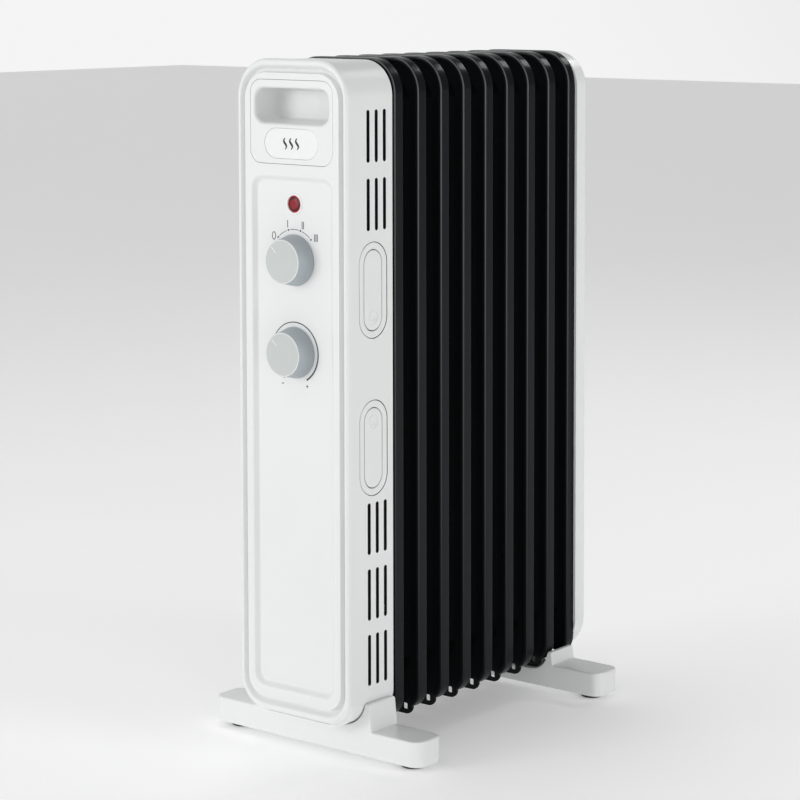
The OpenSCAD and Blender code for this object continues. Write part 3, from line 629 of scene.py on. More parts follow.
def badge_mark():
    """Three rising waves of warmth, inlaid in black."""
    shell = Shell()
    middle = (BADGE_LOW.z + BADGE_HIGH.z) / 2
    for x in (-7, 0, 7):
        path = []
        widths = []
        for step in range(25):
            share = step / 24
            path.append((x + 1.5 * math.sin(2 * math.pi * share), middle - 5 + 10 * share))
            widths.append(0.7 + 1.5 * math.sin(math.pi * share))
        ribbon(shell, path, widths, 0.0)
    return shell.piece("badge_mark", BLACK_INK, "radiator", slot="dark_plastic")


def ribbon(shell, path, widths, y):
    """Thin printed line through (x, z) points, as wide at each point as widths says."""
    left = []
    right = []
    for index, (x, z) in enumerate(path):
        before = path[max(index - 1, 0)]
        after = path[min(index + 1, len(path) - 1)]
        run = Vector((after[0] - before[0], after[1] - before[1])).normalized()
        reach = widths[index] / 2
        left.append((x - run.y * reach, z + run.x * reach))
        right.append((x + run.y * reach, z - run.x * reach))
    inlay(shell, left + right[::-1], y)


def dial_point(z, radius, angle):
    """Point on a dial; angle is clockwise from straight up."""
    turn = math.radians(angle)
    return radius * math.sin(turn), z + radius * math.cos(turn)


def dial_arc(shell, z, radius, start, end, widths, y):
    count = max(6, int(abs(end - start) / 4))
    path = [dial_point(z, radius, start + (end - start) * step / count) for step in range(count + 1)]
    sizes = [widths[0] + (widths[1] - widths[0]) * step / count for step in range(count + 1)]
    ribbon(shell, path, sizes, y)


def bar(shell, x, z, width, height, y):
    ribbon(shell, [(x, z - height / 2), (x, z + height / 2)], [width, width], y)


def heat_scale():
    """Dots with arcs between them, and the numerals 0, I, II and III."""
    shell = Shell()
    y = FIELD_DEPTH
    for stop in HEAT_STOPS:
        inlay(shell, circle(*dial_point(HEAT_Z, DIAL_RADIUS, stop), 0.95, 16), y)
    for first, second in zip(HEAT_STOPS, HEAT_STOPS[1:]):
        dial_arc(shell, HEAT_Z, DIAL_RADIUS, first + 4, second - 4, (0.55, 0.55), y)
    for angle, bars in ((-14, 1), (17.5, 2), (50, 3)):
        x, z = dial_point(HEAT_Z, 32.8, angle)
        for index in range(bars):
            bar(shell, x + (index - (bars - 1) / 2) * 1.6, z, 0.85, 6.6, y)
    x, z = dial_point(HEAT_Z, 31.6, -50)
    turns = [2 * math.pi * step / 28 for step in range(28)]
    rings = []
    for depth in (y - INK_PROUD, y + INK_DEPTH):
        for wide, high in ((2.4, 3.7), (1.6, 2.9)):
            oval = [(x + wide * math.sin(turn), z + high * math.cos(turn)) for turn in turns]
            rings.append(shell.at_y(depth, oval))
    shell.wall(rings[0], rings[1], rings[3], rings[2], closed=True)
    return shell.piece("heat_scale", INK, "radiator", slot="dark_plastic")


def thermostat_scale():
    """Arc that grows from the low end to the high end, with a minus and a plus."""
    shell = Shell()
    y = FIELD_DEPTH
    radius = DIAL_RADIUS - 0.2
    dial_arc(shell, THERMOSTAT_Z, radius, -146, 150, (0.45, 1.6), y)
    inlay(shell, circle(*dial_point(THERMOSTAT_Z, radius, -151), 0.5, 16), y)
    x, z = dial_point(THERMOSTAT_Z, 32.2, -153)
    ribbon(shell, [(x - 1.4, z), (x + 1.4, z)], [0.8, 0.8], y)
    x, z = dial_point(THERMOSTAT_Z, 32.2, 154)
    arm = 1.5
    half = 0.3
    cross = []
    for quarter in range(4):
        cosine = math.cos(-math.pi / 2 * quarter)
        sine = math.sin(-math.pi / 2 * quarter)
        for u, v in ((half, half), (arm, half), (arm, -half)):
            cross.append((x + u * cosine - v * sine, z + u * sine + v * cosine))
    inlay(shell, cross, y)
    return shell.piece("thermostat_scale", INK, "radiator", slot="dark_plastic")


def knob(name, z, body, node):
    """Tapered knob with a dished cap inside a thin raised edge."""
    shell = Shell()
    base = KNOB_HIGH.x
    cap = 19.7
    front = KNOB_LOW.y
    back = KNOB_HIGH.y
    profile = [
        (4, front + 0.55),
        (12, front + 0.42),
        (17.6, front + 0.28),
        (18.4, front + 0.22),
        (18.65, front + 0.04),
        (18.9, front),
        (19.15, front + 0.04),
        (19.45, front + 0.3),
        (cap, front + 0.8),
    ]
    for step in range(1, 9):
        share = step / 8
        spread = 0.8 * share + 0.2 * share * share
        profile.append((cap + (base - cap) * spread, front + 0.8 + (16.2 - 0.8) * share))
    profile += [(base - 0.2, back), (base - WALL, back), (cap - WALL, front + WALL), (4, front + WALL)]
    turned(shell, z, profile, 96)
    made = shell.piece(name, GREY, body, [node], sharp=40)
    # Faces of the raised edge are marked for a painted highlight; the grip faces for a coarser grain and
    # painted shade.
    edge = []
    grip = []
    for face in made.data.polygons:
        radius = Vector((face.center.x, face.center.z - z * MM)).length / MM
        if radius > 19.3:
            grip.append(face.index)
        elif 18.6 < radius < 19.3 and face.normal.y < -0.2:
            edge.append(face.index)
    mark(made.data, "edge", edge)
    mark(made.data, "grip", grip)
    return made


def mark(mesh, name, faces):
    """Marks faces in an attribute that the material reads."""
    marks = mesh.attributes.new(name, "FLOAT", "FACE")
    for index in faces:
        marks.data[index].value = 1.0


def pointer(name, z, body):
    """White line let into the cap."""
    shell = Shell()
    path = [dial_point(z, radius, REST_ANGLE) for radius in (10.2, 17.4)]
    ribbon(shell, path, [1.0, 1.0], KNOB_LOW.y + 0.3)
    return shell.piece(name, WHITE_INK, body, slot="pale_plastic")


def lamp_bezel():
    """Ring round the lens, with a lip in front and a sleeve behind."""
    shell = Shell()
    low, high = span("lamp_bezel")
    edge = high.x
    profile = [
        (LAMP_RADIUS - 0.4, low.y + 2.9),
        (LAMP_RADIUS - 0.3, low.y + 0.7),
        (LAMP_RADIUS, low.y + 0.2),
        (edge - 0.9, low.y),
        (edge - 0.2, low.y + 0.2),
        (edge, low.y + 0.8),
        (edge - 0.6, low.y + 0.85),
        (edge - 0.6, high.y),
        (3.0, high.y),
        (3.0, high.y - 1.5),
        (LAMP_RADIUS, high.y - 1.5),
        (LAMP_RADIUS, low.y + 3.0),
    ]
    turned(shell, LAMP_Z, profile, 48, closed=True)
    return shell.piece("lamp_ring", PALE, "radiator", ["lamp_bezel"])


def lamp_lens():
    """Lens with a shallow dome and a stepped edge."""
    shell = Shell()
    low, high = span("lamp_lens")
    front = low.y - 1.8
    edge = LAMP_RADIUS - 0.01
    profile = [(edge, high.y), (edge, front), (7.2, front - 0.25), (6.7, front - 0.3)]
    profile += [(6.5 * math.cos(turn), front - 0.3 - 0.7 * math.sin(turn)) for turn in (0.0, 0.4, 0.8, 1.2)]
    turned(shell, LAMP_Z, profile, 48)
    return shell.piece("lamp_cap", LENS, "radiator", ["lamp_lens"])


# ---- Node trees ----


def tree(name, inputs):
    """Geometry tree with a mesh in, a mesh out and named sizes."""
    group = bpy.data.node_groups.new(name, "GeometryNodeTree")
    group.interface.new_socket("Geometry", in_out="INPUT", socket_type="NodeSocketGeometry")
    for label, kind in inputs:
        group.interface.new_socket(label, in_out="INPUT", socket_type=kind)
    group.interface.new_socket("Geometry", in_out="OUTPUT", socket_type="NodeSocketGeometry")
    return group, group.nodes.new("NodeGroupInput"), group.nodes.new("NodeGroupOutput")


def add(group, kind, settings=None, inputs=None):
    """Adds a node and returns its first output; inputs are constants, sockets or lists of sockets."""
    made = group.nodes.new(kind)
    for key, value in (settings or {}).items():
        setattr(made, key, value)
    for key, value in (inputs or {}).items():
        for feed in value if isinstance(value, list) else [value]:
            if isinstance(feed, bpy.types.NodeSocket):
                group.links.new(feed, made.inputs[key])
            else:
                made.inputs[key].default_value = feed
    return made.outputs[0]


def grow(mesh, group, sizes):
    """Runs a tree on a mesh and returns the plain mesh that comes out."""
    host = bpy.data.objects.new(mesh.name, mesh)
    bpy.context.scene.collection.objects.link(host)
    modifier = host.modifiers.new("growth", "NODES")
    modifier.node_group = group
    for item in group.interface.items_tree:
        if item.item_type == "SOCKET" and item.in_out == "INPUT" and item.name in sizes:
            modifier[item.identifier] = sizes[item.name]
    grown = bpy.data.meshes.new_from_object(host.evaluated_get(bpy.context.evaluated_depsgraph_get()))
    bpy.data.objects.remove(host)
    return grown


def finish_tree(group, outputs, shape, material):
    """Ends a tree in Realize Instances and Set Material."""
    real = add(group, "GeometryNodeRealizeInstances", None, {"Geometry": shape})
    done = add(group, "GeometryNodeSetMaterial", None, {"Geometry": real, "Material": material})
    group.links.new(done, outputs.inputs[0])


def row_tree(material):
    """Repeats a mesh at an even pitch along y."""
    sizes = [("Count", "NodeSocketInt"), ("Pitch", "NodeSocketFloat")]
    group, entry, outputs = tree("fin_row", sizes)
    offset = add(group, "ShaderNodeCombineXYZ", None, {"Y": entry.outputs["Pitch"]})
    inputs = {"Count": entry.outputs["Count"], "Offset": offset}
    line = add(group, "GeometryNodeMeshLine", {"mode": "OFFSET"}, inputs)
    inputs = {"Points": line, "Instance": entry.outputs["Geometry"]}
    placed = add(group, "GeometryNodeInstanceOnPoints", None, inputs)
    finish_tree(group, outputs, placed, material)
    return group


def vent_tree(material):
    """Cuts a row of upright slots with round ends through both side walls at each group height."""
    sizes = [(label, "NodeSocketFloat") for label in ("Length", "Width", "Pitch", "Reach", "Middle")]
    sizes += [(f"Height {number + 1}", "NodeSocketFloat") for number in range(len(VENT_HEIGHTS))]
    group, entry, outputs = tree("vent_slots", sizes)
    size = entry.outputs
    inputs = {"Width": size["Width"], "Height": size["Length"]}
    slot = add(group, "GeometryNodeCurvePrimitiveQuadrilateral", {"mode": "RECTANGLE"}, inputs)
    almost_half = 0.499
    radius = add(group, "ShaderNodeMath", {"operation": "MULTIPLY"}, {0: size["Width"], 1: almost_half})
    inputs = {"Curve": slot, "Radius": radius, "Count": 6}
    round_slot = add(group, "GeometryNodeFilletCurve", {"mode": "POLY"}, inputs)
    face = add(group, "GeometryNodeFillCurve", {"mode": "NGONS"}, {"Curve": round_slot})
    depth = add(group, "ShaderNodeCombineXYZ", None, {"Z": size["Reach"]})
    inputs = {"Mesh": face, "Offset": depth, "Offset Scale": 1.0, "Individual": False}
    cutter = add(group, "GeometryNodeExtrudeMesh", {"mode": "FACES"}, inputs)
    base = add(group, "GeometryNodeFlipFaces", None, {"Mesh": face})
    block = add(group, "GeometryNodeJoinGeometry", None, {"Geometry": [cutter, base]})
    sealed = add(group, "GeometryNodeMergeByDistance", None, {"Geometry": block, "Distance": 1e-6})
    start = add(group, "ShaderNodeMath", {"operation": "MULTIPLY"}, {0: size["Reach"], 1: -0.5})
    begin = add(group, "ShaderNodeMath", {"operation": "SUBTRACT"}, {0: size["Middle"], 1: size["Pitch"]})
    step = add(group, "ShaderNodeCombineXYZ", None, {"Y": size["Pitch"]})
    rows = []
    for number in range(len(VENT_HEIGHTS)):
        inputs = {"X": start, "Y": begin, "Z": size[f"Height {number + 1}"]}
        first = add(group, "ShaderNodeCombineXYZ", None, inputs)
        inputs = {"Count": 3, "Start Location": first, "Offset": step}
        rows.append(add(group, "GeometryNodeMeshLine", {"mode": "OFFSET"}, inputs))
    points = add(group, "GeometryNodeJoinGeometry", None, {"Geometry": rows})
    quarter = math.pi / 2
    inputs = {"Points": points, "Instance": sealed, "Rotation": (quarter, 0.0, quarter)}
    cutters = add(group, "GeometryNodeInstanceOnPoints", None, inputs)
    solid = add(group, "GeometryNodeRealizeInstances", None, {"Geometry": cutters})
    inputs = {"Mesh 1": size["Geometry"], "Mesh 2": solid}
    cut = add(group, "GeometryNodeMeshBoolean", {"operation": "DIFFERENCE", "solver": "EXACT"}, inputs)
    finish_tree(group, outputs, cut, material)
    return group


# ---- Control housing ----


def housing_ring(inset):
    low = HOUSING_LOW.z + inset
    r_top = HOUSING_TOP_RADIUS - inset
    r_low = HOUSING_LOW_RADIUS - inset
    return rounded(HOUSING_HIGH.x - inset, low, HOUSING_HIGH.z - inset, r_top, r_low, 16)


def hook_outline(side, radius):
    """Outline (y, z) of a hook's pill; side is 1 for the upper hook and -1 for the lower."""
    return tall_pill(HOOK_Y, HOOK_MIDDLE + side * HOOK_NEAR, HOOK_MIDDLE + side * HOOK_FAR, radius)


def control_housing():
    """Open-fronted box with its back wall, hook openings and rows of vent slots."""
    shell = Shell()
    inner_back = HOUSING_BACK - WALL
    soft = 0.8
    outer = [shell.at_y(PANEL_BACK, housing_ring(0)), shell.at_y(HOUSING_BACK - soft, housing_ring(0))]
    outer.append(shell.at_y(HOUSING_BACK, housing_ring(soft)))
    inner = [shell.at_y(y, housing_ring(WALL)) for y in (PANEL_BACK, inner_back)]
    shell.wall(*outer)
    shell.wall(*inner)
    shell.wall(outer[0], inner[0])
    window = [shell.at_y(y, circle(0, LOWER_HEADER, 22, 48)) for y in (inner_back, HOUSING_BACK)]
    shell.wall(*window)
    shell.fill(inner[-1], window[0])
    shell.fill(outer[-1], window[1])
    through = 200
    sizes = {"Length": VENT_LENGTH * MM, "Width": VENT_WIDTH * MM, "Pitch": VENT_PITCH * MM}
    sizes["Reach"] = through * MM
    sizes["Middle"] = FACE + VENT_MIDDLE * MM
    for number, height in enumerate(VENT_HEIGHTS):
        sizes[f"Height {number + 1}"] = height * MM
    vented = grow(shell.mesh("housing_box"), vent_tree(WHITE), sizes)
    openings = Shell()
    for side in (-1, 1):
        outline = hook_outline(side, CUP_RADIUS + 0.3)
        openings.solid(*[openings.at_x(HOUSING_HIGH.x + reach, outline) for reach in (-10, 10)])
    housing = carved(vented, openings)
    paint_shade_inside(housing)
    return settle(housing, "housing", WHITE, "radiator", ["control_housing"])


def paint_shade_inside(mesh):
    """Marks the faces that look inwards and the vent walls, which get painted shade so that the inside looks
    dark through the slots.
    """
    middle_y = (PANEL_BACK + HOUSING_BACK) / 2
    faces = []
    for face in mesh.polygons:
        height = max(face.center.z / MM, HOUSING_LOW.z + HOUSING_TOP_RADIUS)
        outward = face.center - place(0, middle_y, min(height, HOUSING_HIGH.z - HOUSING_TOP_RADIUS))
        inwards = face.normal.dot(outward) < 0 and abs(face.normal.y) < 0.5
        depth = (face.center.y - FACE) / MM
        across = abs(face.normal.y) > 0.5 and PANEL_BACK + 1 < depth < HOUSING_BACK - 1
        if inwards or across:
            faces.append(face.index)
    mark(mesh, "inside", faces)


def carved(mesh, shell):
    """The mesh with the shell's shape cut out of it."""
    host = bpy.data.objects.new("host", mesh)
    cutter = bpy.data.objects.new("cutter", shell.mesh("cutter"))
    for item in (host, cutter):
        bpy.context.scene.collection.objects.link(item)
    boolean = host.modifiers.new("cut", "BOOLEAN")
    boolean.operation = "DIFFERENCE"
    boolean.solver = "EXACT"
    boolean.object = cutter
    result = bpy.data.meshes.new_from_object(host.evaluated_get(bpy.context.evaluated_depsgraph_get()))
    for item in (host, cutter):
        bpy.data.objects.remove(item)
    return result


# ---- Cord hooks ----


def hook_cup(name, side, node):
    """Cup with a flange on the housing's side and a pocket that the flap closes."""
    shell = Shell()
    face = HOUSING_HIGH.x
    pocket = FLAP_RADIUS + 0.5
    steps = (
        (CUP_BOTTOM, pocket + 1.8),
        (face - WALL, pocket + 1.8),
        (face - WALL, CUP_RADIUS),
        (face - 2.0, CUP_RADIUS),
        (face - 1.9, CUP_RADIUS - 0.35),
        (face - 0.5, CUP_RADIUS - 0.35),
        (face - 0.12, CUP_RADIUS - 0.5),
        (face, CUP_RADIUS - 0.9),
        (face, pocket + 0.8),
        (face - 0.25, pocket + 0.25),
        (face - 0.8, pocket),
        (CUP_BOTTOM + 1.8, pocket),
    )
    shell.solid(*[shell.at_x(x, hook_outline(side, radius)) for x, radius in steps])
    return shell.piece(name, WHITE, "radiator", [node])


def hook_flap(name, side, body, node):
    """Flap with a round finger mark pressed into its near end."""
    shell = Shell()
    face = HOUSING_HIGH.x
    edges = ((5, 0.6), (4.5, 0.25), (0.9, 0.25), (0.3, 0.4), (0.04, 0.8), (0, 1.3))
    loops = [shell.at_x(face - depth, hook_outline(side, FLAP_RADIUS - inset)) for depth, inset in edges]
    shell.wall(*loops)
    shell.fill(loops[0])
    near = HOOK_MIDDLE + side * HOOK_NEAR
    groove = ((6.1, 0), (5.85, 0.5), (5.45, 0.55), (5.2, 0.1))
    dish = ((3.6, 0.15), (3.3, 0.55), (2.9, 0.6), (1.2, 0.7))
    rings = [shell.at_x(face - depth, circle(HOOK_Y, near, radius)) for radius, depth in groove + dish]
    shell.wall(*rings)
    shell.fill(rings[-1])
    shell.fill(loops[-1], rings[0])
    return shell.piece(name, WHITE, body, [node])


# ---- Fins ----


def band_path():
    """Points (x, z, outward angle) along the folded band, from one curled end to the other."""
    points = []
    for radius, centre_z, start, end, steps in (
        (FIN_LOW_RADIUS, FIN_LOW + FIN_LOW_RADIUS, -58, 0, 8),
        (FIN_TOP_RADIUS, TOP - FIN_TOP_RADIUS, 0, 90, 18),
    ):
        for step, (x, z) in enumerate(arc(FIN_HALF - radius, centre_z, radius, start, end, steps)):
            points.append((x, z, math.radians(start + (end - start) * step / steps)))
    return points + [(-x, z, math.pi - turn) for x, z, turn in reversed(points)]


def fin_band(shell, y):
    """Folded band round a fin: a flat face with rolled front and rear edges."""
    half = FIN_DEPTH / 2
    edge = [(0, half - 1.7), (0.14, half - 0.95), (0.55, half - 0.35), (1.2, half - 0.06), (3.4, half)]
    fold = [(3.4, half - 1.2), (1.9, half - 1.25), (1.3, half - 2.1)]
    profile = [(depth, -offset) for depth, offset in reversed(edge)] + edge
    profile += fold + [(depth, -offset) for depth, offset in reversed(fold)]
    sections = []
    for x, z, turn in band_path():
        points = []
        for depth, offset in profile:
            points.append((x - depth * math.cos(turn), y + offset, z - depth * math.sin(turn)))
        sections.append(shell.loop(points))
    shell.strip(sections)


def web_outline():
    """Sheet inside the band, with a tab below that ends in round corners."""
    inset = 0.7
    r_top = FIN_TOP_RADIUS - inset
    r_low = FIN_LOW_RADIUS - inset
    points = arc(TAB_HALF - TAB_RADIUS, TAB_LOW + TAB_RADIUS, TAB_RADIUS, -90, 0, 6)
    points += arc(FIN_HALF - FIN_LOW_RADIUS, FIN_LOW + FIN_LOW_RADIUS, r_low, -57, 0, 6)
    points += arc(FIN_HALF - FIN_TOP_RADIUS, TOP - FIN_TOP_RADIUS, r_top, 0, 90, 12)
    return points + [(-x, z) for x, z in reversed(points)]


def fin_web(shell, y):
    """Sheet in the middle of a fin, with a small relief hole in each side of its tab."""
    faces = []
    for offset in (-WEB_HALF, WEB_HALF):
        edge = shell.at_y(y + offset, web_outline())
        holes = []
        for side in (-1, 1):
            outline = [(side * 41 + u, v) for u, v in rounded(2.5, 25, 31, 1.2, 1.2, 3)]
            holes.append(shell.at_y(y + offset, outline))
        shell.fill(edge, *holes)
        faces.append([edge] + holes)
    for front, back in zip(*faces):
        shell.wall(front, back)


def fin_channels(shell, y):
    """Pressed oil channels: three upright, and one across at each end."""
    radius = CHANNEL_RADIUS
    reach = CHANNEL_SPREAD + radius
    rise = [(0.0, WEB_HALF), (1.5, 1.1), (4.0, 2.4), (6.5, 3.4), (8.5, 3.9), (10.0, 4.0)]
    steps = [(inset, -depth) for inset, depth in reversed(rise)] + rise
    for x in (-CHANNEL_SPREAD, 0, CHANNEL_SPREAD):
        loops = []
        for inset, depth in steps:
            pill = tall_pill(x, LOWER_HEADER, UPPER_HEADER, radius - inset, 8)
            loops.append(shell.at_y(y + depth, pill))
        shell.solid(*loops)
    for z in (LOWER_HEADER, UPPER_HEADER):
        loops = []
        for inset, depth in steps:
            pill = flat_pill(reach, z - radius, z + radius, inset, 8)
            loops.append(shell.at_y(y + depth, pill))
        shell.solid(*loops)


def fin_collars(shell, y):
    """Round collars that join a fin to its neighbours at both headers."""
    half = FIN_PITCH / 2
    for z in (LOWER_HEADER, UPPER_HEADER):
        profile = [(17.9, -half), (18.0, -half + 0.4), (17.2, -half + 2.4), (17.2, -6), (18.0, -4)]
        profile += [(radius, -depth) for radius, depth in reversed(profile)]
        turned(shell, z, [(radius, y + depth) for radius, depth in profile], 40)


def fins():
    """Row of equal fins, repeated from one."""
    shell = Shell()
    y = FIRST_FIN + FIN_DEPTH / 2
    fin_band(shell, y)
    fin_web(shell, y)
    fin_channels(shell, y)
    fin_collars(shell, y)
    row = grow(shell.mesh("fin"), row_tree(BLACK), {"Count": FIN_COUNT, "Pitch": FIN_PITCH * MM})
    # The front edges are marked for the enamel's painted highlight.
    mark(row, "edge", front_edges(row))
    nodes = [f"fin_{number}" for number in range(1, FIN_COUNT + 1)]
    return settle(row, "fins", BLACK, "radiator", nodes)


def front_edges(mesh):
    """Faces of the rolled front edges, which get a painted highlight where they catch the light."""
    radius = FIN_TOP_RADIUS
    thick = 1.3
    found = []
    for face in mesh.polygons:
        behind = ((face.center.y - FACE) / MM - FIRST_FIN) % FIN_PITCH
        side = FIN_HALF - abs(face.center.x) / MM
        above = TOP - face.center.z / MM
        in_corner = side < radius and above < radius
        rounding = in_corner and math.hypot(radius - side, radius - above) > radius - thick
        rim = side < thick or above < thick or rounding
        if rim and behind < 1.8 and -0.93 < face.normal.y < -0.25:
            found.append(face.index)
    return found


# ---- Rear cover ----


def rear_ring(inset):
    low = REAR_LOW.z + inset
    radius = REAR_RADIUS - inset
    return rounded(REAR_HIGH.x - inset, low, REAR_HIGH.z - inset, radius, radius, 16)


def rear_lip_path():
    """Points (x, z, thickness) along the lip that laps the last fin and thins out round the corners."""
    radius = REAR_RADIUS
    thickest = 2.6
    points = []
    for turn in range(-22, 54, 4):
        if turn < 0:
            thick = thickest * (1 + turn / 26)
            centre = REAR_LOW.z + radius
        else:
            thick = thickest * (1 - 0.95 * (turn / 54) ** 1.5)
            centre = REAR_HIGH.z - radius
        x = REAR_HIGH.x - radius * (1 - math.cos(math.radians(turn)))
        points.append((x, centre + radius * math.sin(math.radians(turn)), thick))
    return points


def rear_cover():
    """Shallow tray with a softly rounded rear edge and four countersunk screw holes."""
    shell = Shell()
    front = FIRST_FIN + (FIN_COUNT - 1) * FIN_PITCH + FIN_DEPTH + 0.2
    back = REAR_HIGH.y
    soft = 6
    outer = [shell.at_y(front, rear_ring(0.4)), shell.at_y(front + 0.4, rear_ring(0))]
    for step in range(9):
        turn = math.radians(90 * step / 8)
        outer.append(shell.at_y(back - soft + soft * math.sin(turn), rear_ring(soft * (1 - math.cos(turn)))))
    inner = [shell.at_y(front, rear_ring(WALL)), shell.at_y(back - soft, rear_ring(WALL))]
    inner.append(shell.at_y(back - WALL, rear_ring(soft)))
    shell.wall(*outer)
    shell.wall(*inner)
    shell.wall(outer[0], inner[0])
    shell.fill(inner[-1])
    mouths = []
    radius = REAR_SCREW_RADIUS
    steps = ((0.0, radius + 0.4), (0.4, radius), (3.0, radius))
    for side in (-1, 1):
        for z in REAR_SCREW_HEIGHTS:
            x = side * REAR_SCREW_X
            loops = [shell.at_y(back - depth, circle(x, z, mouth, 24)) for depth, mouth in steps]
            shell.wall(*loops)
            shell.fill(loops[-1])
            mouths.append(loops[0])
    shell.fill(outer[-1], *mouths)
    for side in (-1, 1):
        sections = []
        for x, z, thick in rear_lip_path():
            points = []
            for y in (REAR_LOW.y, front + 1):
                points.append((side * x, y, z))
            for y in (front + 1, REAR_LOW.y):
                points.append((side * (x - thick), y, z))
            sections.append(shell.loop(points))
        shell.strip(sections)
    return shell.piece("rear_shell", WHITE, "radiator", ["rear_cover"])


# ---- Feet ----


def foot_top_line(half, shoulder, shoulder_top, saddle_x, saddle_z, saddle_r):
    """Upper edge of a foot from its end to its middle, as (x, z) points."""
    line = arc(half - FOOT_SOFT, FOOT_TOP - FOOT_SOFT, FOOT_SOFT, 0, 90, 4)
    for degrees in (50, 65, 90):
        line.append((half - FOOT_CORNER + FOOT_CORNER * math.cos(math.radians(degrees)), FOOT_TOP))
    flare = 0.1 * (shoulder_top - FOOT_TOP)
    for out, up in ((1.2, 0.0), (0.3, 0.3), (-0.1, 1.2)):
        line.append((shoulder + flare + out, FOOT_TOP + up))
    line += arc(shoulder - 1.2, shoulder_top - 1.2, 1.2, 5, 90, 4)
    reach = math.asin((saddle_z - shoulder_top + 0.8) / saddle_r)
    start = -math.degrees(reach)
    edge = saddle_x + saddle_r * math.cos(math.radians(start))
    line += [(edge + 1.0, shoulder_top), (edge + 0.35, shoulder_top - 0.15)]
    line += arc(saddle_x, saddle_z, saddle_r, start, -90, 14)
    return line


def foot(name, node, shoulder_top, saddle_x, saddle_z, saddle_r):
    """Foot skinned over cross sections that follow its upper edge and its round ends."""
    shell = Shell()
    low, high = span(node)
    half = high.x
    middle = (low.y + high.y) / 2
    reach = (high.y - low.y) / 2
    chamfer = 0.6
    right = foot_top_line(half, HOUSING_HIGH.x + 4.5, shoulder_top, saddle_x, saddle_z, saddle_r)
    line = right + [(-x, z) for x, z in reversed(right)]
    sections = []
    for x, z in line:
        beyond = max(0.0, abs(x) - (half - FOOT_CORNER))
        side = reach - FOOT_CORNER + math.sqrt(max(FOOT_CORNER**2 - beyond**2, 0.0))
        bevel = min(FOOT_SOFT, side / 2)
        rear = [(side - chamfer, PAD_HEIGHT), (side, PAD_HEIGHT + chamfer)]
        for degrees in (0, 22.5, 45, 67.5, 90):
            turn = math.radians(degrees)
            rear.append((side - bevel * (1 - math.cos(turn)), z - bevel * (1 - math.sin(turn))))
        points = [(x, middle + offset, height) for offset, height in rear]
        points += [(x, middle - offset, height) for offset, height in reversed(rear)]
        sections.append(shell.loop(points))
    shell.strip(sections)
    return shell.piece(name, WHITE, "radiator", [node], sharp=38)


def pad(node):
    """Rubber pad: a tapered disc with a soft edge and a hollow underneath."""
    shell = Shell()
    low, high = span(node)
    x = (low.x + high.x) / 2
    y = (low.y + high.y) / 2
    hollow = [(3, 1.2), (7.2, 1.2), (7.8, 0.2), (8.4, 0.0)]
    side = [(9.4, 0.0), (10.0, 0.35), (10.3, 1.0), (11.7, 4.2), (12.0, 4.7), (11.8, PAD_HEIGHT)]
    loops = []
    for radius, z in hollow + side + [(3, PAD_HEIGHT)]:
        loops.append(shell.loop([(x + u, y + v, z) for u, v in circle(0, 0, radius, 40)]))
    shell.solid(*loops)
    return shell.piece(node.replace("pad", "bumper"), RUBBER, "radiator", [node])


# ---- Pieces that keep their CAD shape ----

KEPT = {
    STEEL: (
        "heat_shaft",
        "thermostat_shaft",
        "control_nuts",
        "upper_hook_pin",
        "lower_hook_pin",
        "element_flange",
        "rear_clamp",
        "wing_nuts",
        "panel_screws",
        "housing_screws",
        "front_foot_screws",
        "rear_cover_screws",
    ),
    ZINC: ("heat_shield",),
    HOT_STEEL: ("low_heating_element", "high_heating_element"),
    BRASS: ("filler_plug",),
    CERAMIC: ("thermostat", "terminal_block"),
    DARK: ("heat_switch", "thermal_cutout"),
    BLACK: ("rear_header_caps",),
    LEADS: ("internal_leads",),
    AMBER: ("neon_lamp",),
    RUBBER: ("cord_gland",),
}


def finish_kept_nodes():
    """Gives the inner pieces and fasteners their finishes."""
    for material, nodes in KEPT.items():
        for node in nodes:
            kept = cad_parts[node]
            for slot in kept.material_slots:
                slot.material = material


# ---- Camera, light and floor ----

# Each part of the sky: where it lies, the cosines between which it fades in, its strength at both.
SKY = (
    ((0.53, 0.66, 0.53), (0.15, 0.9, 0.66, 0.06)),
    ((-0.61, 0.79, 0.0), (0.7, 0.93, 0.0, 0.25)),
)

# Each light: its place, the point it faces, its width and height in metres, and its power.
SOFTBOXES = {
    "front_left": ((-1.3, -3.0, 0.9), (0, 0, 0.3), 1.6, 1.5, 28),
    "right": ((3.2, 0.5, 0.8), (0, 0, 0.3), 1.0, 1.4, 30),
    "right_strip": ((3.0, -2.4, 0.5), (0, 0, 0.4), 0.12, 1.0, 5),
    "overhead": ((-0.4, 0.3, 2.5), (0, 0, 0.5), 0.5, 1.2, 6),
    "rear_top": ((0.25, 2.3, 2.1), (0, 0, 0.5), 0.8, 0.5, 8),
}


def camera():
    data = bpy.data.cameras.new("camera")
    data.sensor_width = 36
    data.lens = 112.5
    data.shift_x = -0.0754
    data.shift_y = -0.2792
    data.clip_end = 50
    view = bpy.data.objects.new("camera", data)
    view.location = place(1461.0, -1632.8, 696.75)
    view.rotation_euler = (math.radians(90 - 4.64), 0, math.radians(37.94))
    bpy.context.scene.collection.objects.link(view)
    bpy.context.scene.camera = view


def softbox(name, position, target, width, height, power):
    data = bpy.data.lights.new(name, "AREA")
    data.shape = "RECTANGLE"
    data.size = width
    data.size_y = height
    data.energy = power
    lamp = bpy.data.objects.new(name, data)
    lamp.location = position
    lamp.rotation_euler = (Vector(target) - Vector(position)).to_track_quat("-Z", "Y").to_euler()
    bpy.context.scene.collection.objects.link(lamp)


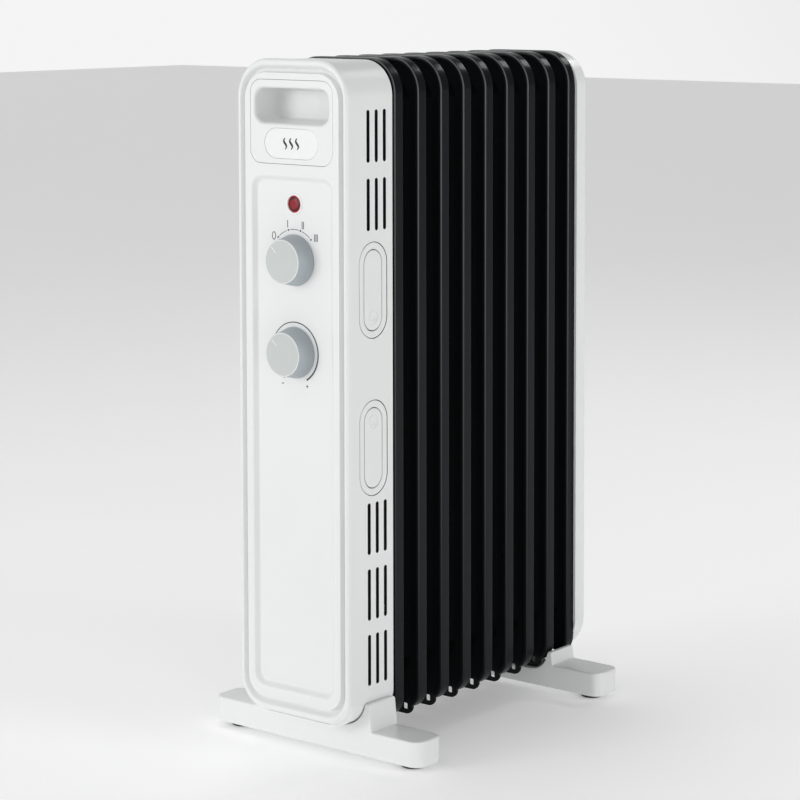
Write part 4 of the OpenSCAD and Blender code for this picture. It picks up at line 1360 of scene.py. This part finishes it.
def studio():
    world = bpy.data.worlds.new("studio")
    world.use_nodes = True
    nodes = world.node_tree.nodes
    links = world.node_tree.links
    sky = nodes["Background"]
    sky.inputs["Color"].default_value = (1.0, 1.0, 1.0, 1.0)
    direction = nodes.new("ShaderNodeTexCoord")
    parts = []
    for pole, reach in SKY:
        towards = nodes.new("ShaderNodeVectorMath")
        towards.operation = "DOT_PRODUCT"
        towards.inputs[1].default_value = pole
        shade = nodes.new("ShaderNodeMapRange")
        shade.interpolation_type = "SMOOTHSTEP"
        for key, value in zip(("From Min", "From Max", "To Min", "To Max"), reach):
            shade.inputs[key].default_value = value
        links.new(direction.outputs["Generated"], towards.inputs[0])
        links.new(towards.outputs["Value"], shade.inputs["Value"])
        parts.append(shade.outputs[0])
    total = nodes.new("ShaderNodeMath")
    links.new(parts[0], total.inputs[0])
    links.new(parts[1], total.inputs[1])
    links.new(total.outputs[0], sky.inputs["Strength"])
    bpy.context.scene.world = world
    bpy.context.scene.view_settings.view_transform = "Standard"
    for name, settings in SOFTBOXES.items():
        softbox(name, *settings)


def floor():
    finish = Finish("floor", Emission_Color=colour(1, 1, 1), Emission_Strength=0.22)
    cloud = finish.noise(3, 2)
    finish.set("Base Color", finish.blend(cloud, colour(0.94, 0.94, 0.94), colour(0.92, 0.92, 0.92)))
    finish.set("Roughness", finish.between(cloud, 0.7, 0.8))
    mesh = bpy.data.meshes.new("floor")
    reach = 12
    corners = [(-reach, -reach, 0), (reach, -reach, 0), (reach, reach, 0), (-reach, reach, 0)]
    mesh.from_pydata(corners, [], [(0, 1, 2, 3)])
    mesh.materials.append(finish.material)
    ground = bpy.data.objects.new("floor", mesh)
    bpy.context.scene.collection.objects.link(ground)


# ---- Assembly ----

camera()
studio()
floor()

front_panel()
handle_plate()
badge()
badge_mark()
heat_scale()
thermostat_scale()
knob("heat_dial", HEAT_Z, "heat_control", "heat_knob")
pointer("heat_pointer", HEAT_Z, "heat_control")
knob("thermostat_dial", THERMOSTAT_Z, "thermostat_control", "thermostat_knob")
pointer("thermostat_pointer", THERMOSTAT_Z, "thermostat_control")
lamp_bezel()
lamp_lens()
control_housing()
hook_cup("upper_cup", 1, "upper_hook_cup")
hook_cup("lower_cup", -1, "lower_hook_cup")
hook_flap("upper_wrap", 1, "upper_flap", "upper_hook")
hook_flap("lower_wrap", -1, "lower_flap", "lower_hook")
fins()
rear_cover()
foot("front_stand", "front_foot", shoulder_top=52.5, saddle_x=34.5, saddle_z=58.5, saddle_r=28.3)
foot("rear_stand", "rear_foot", shoulder_top=40, saddle_x=41.3, saddle_z=42, saddle_r=21)
for corner in ("front_left_pad", "front_right_pad", "rear_left_pad", "rear_right_pad"):
    pad(corner)
finish_kept_nodes()
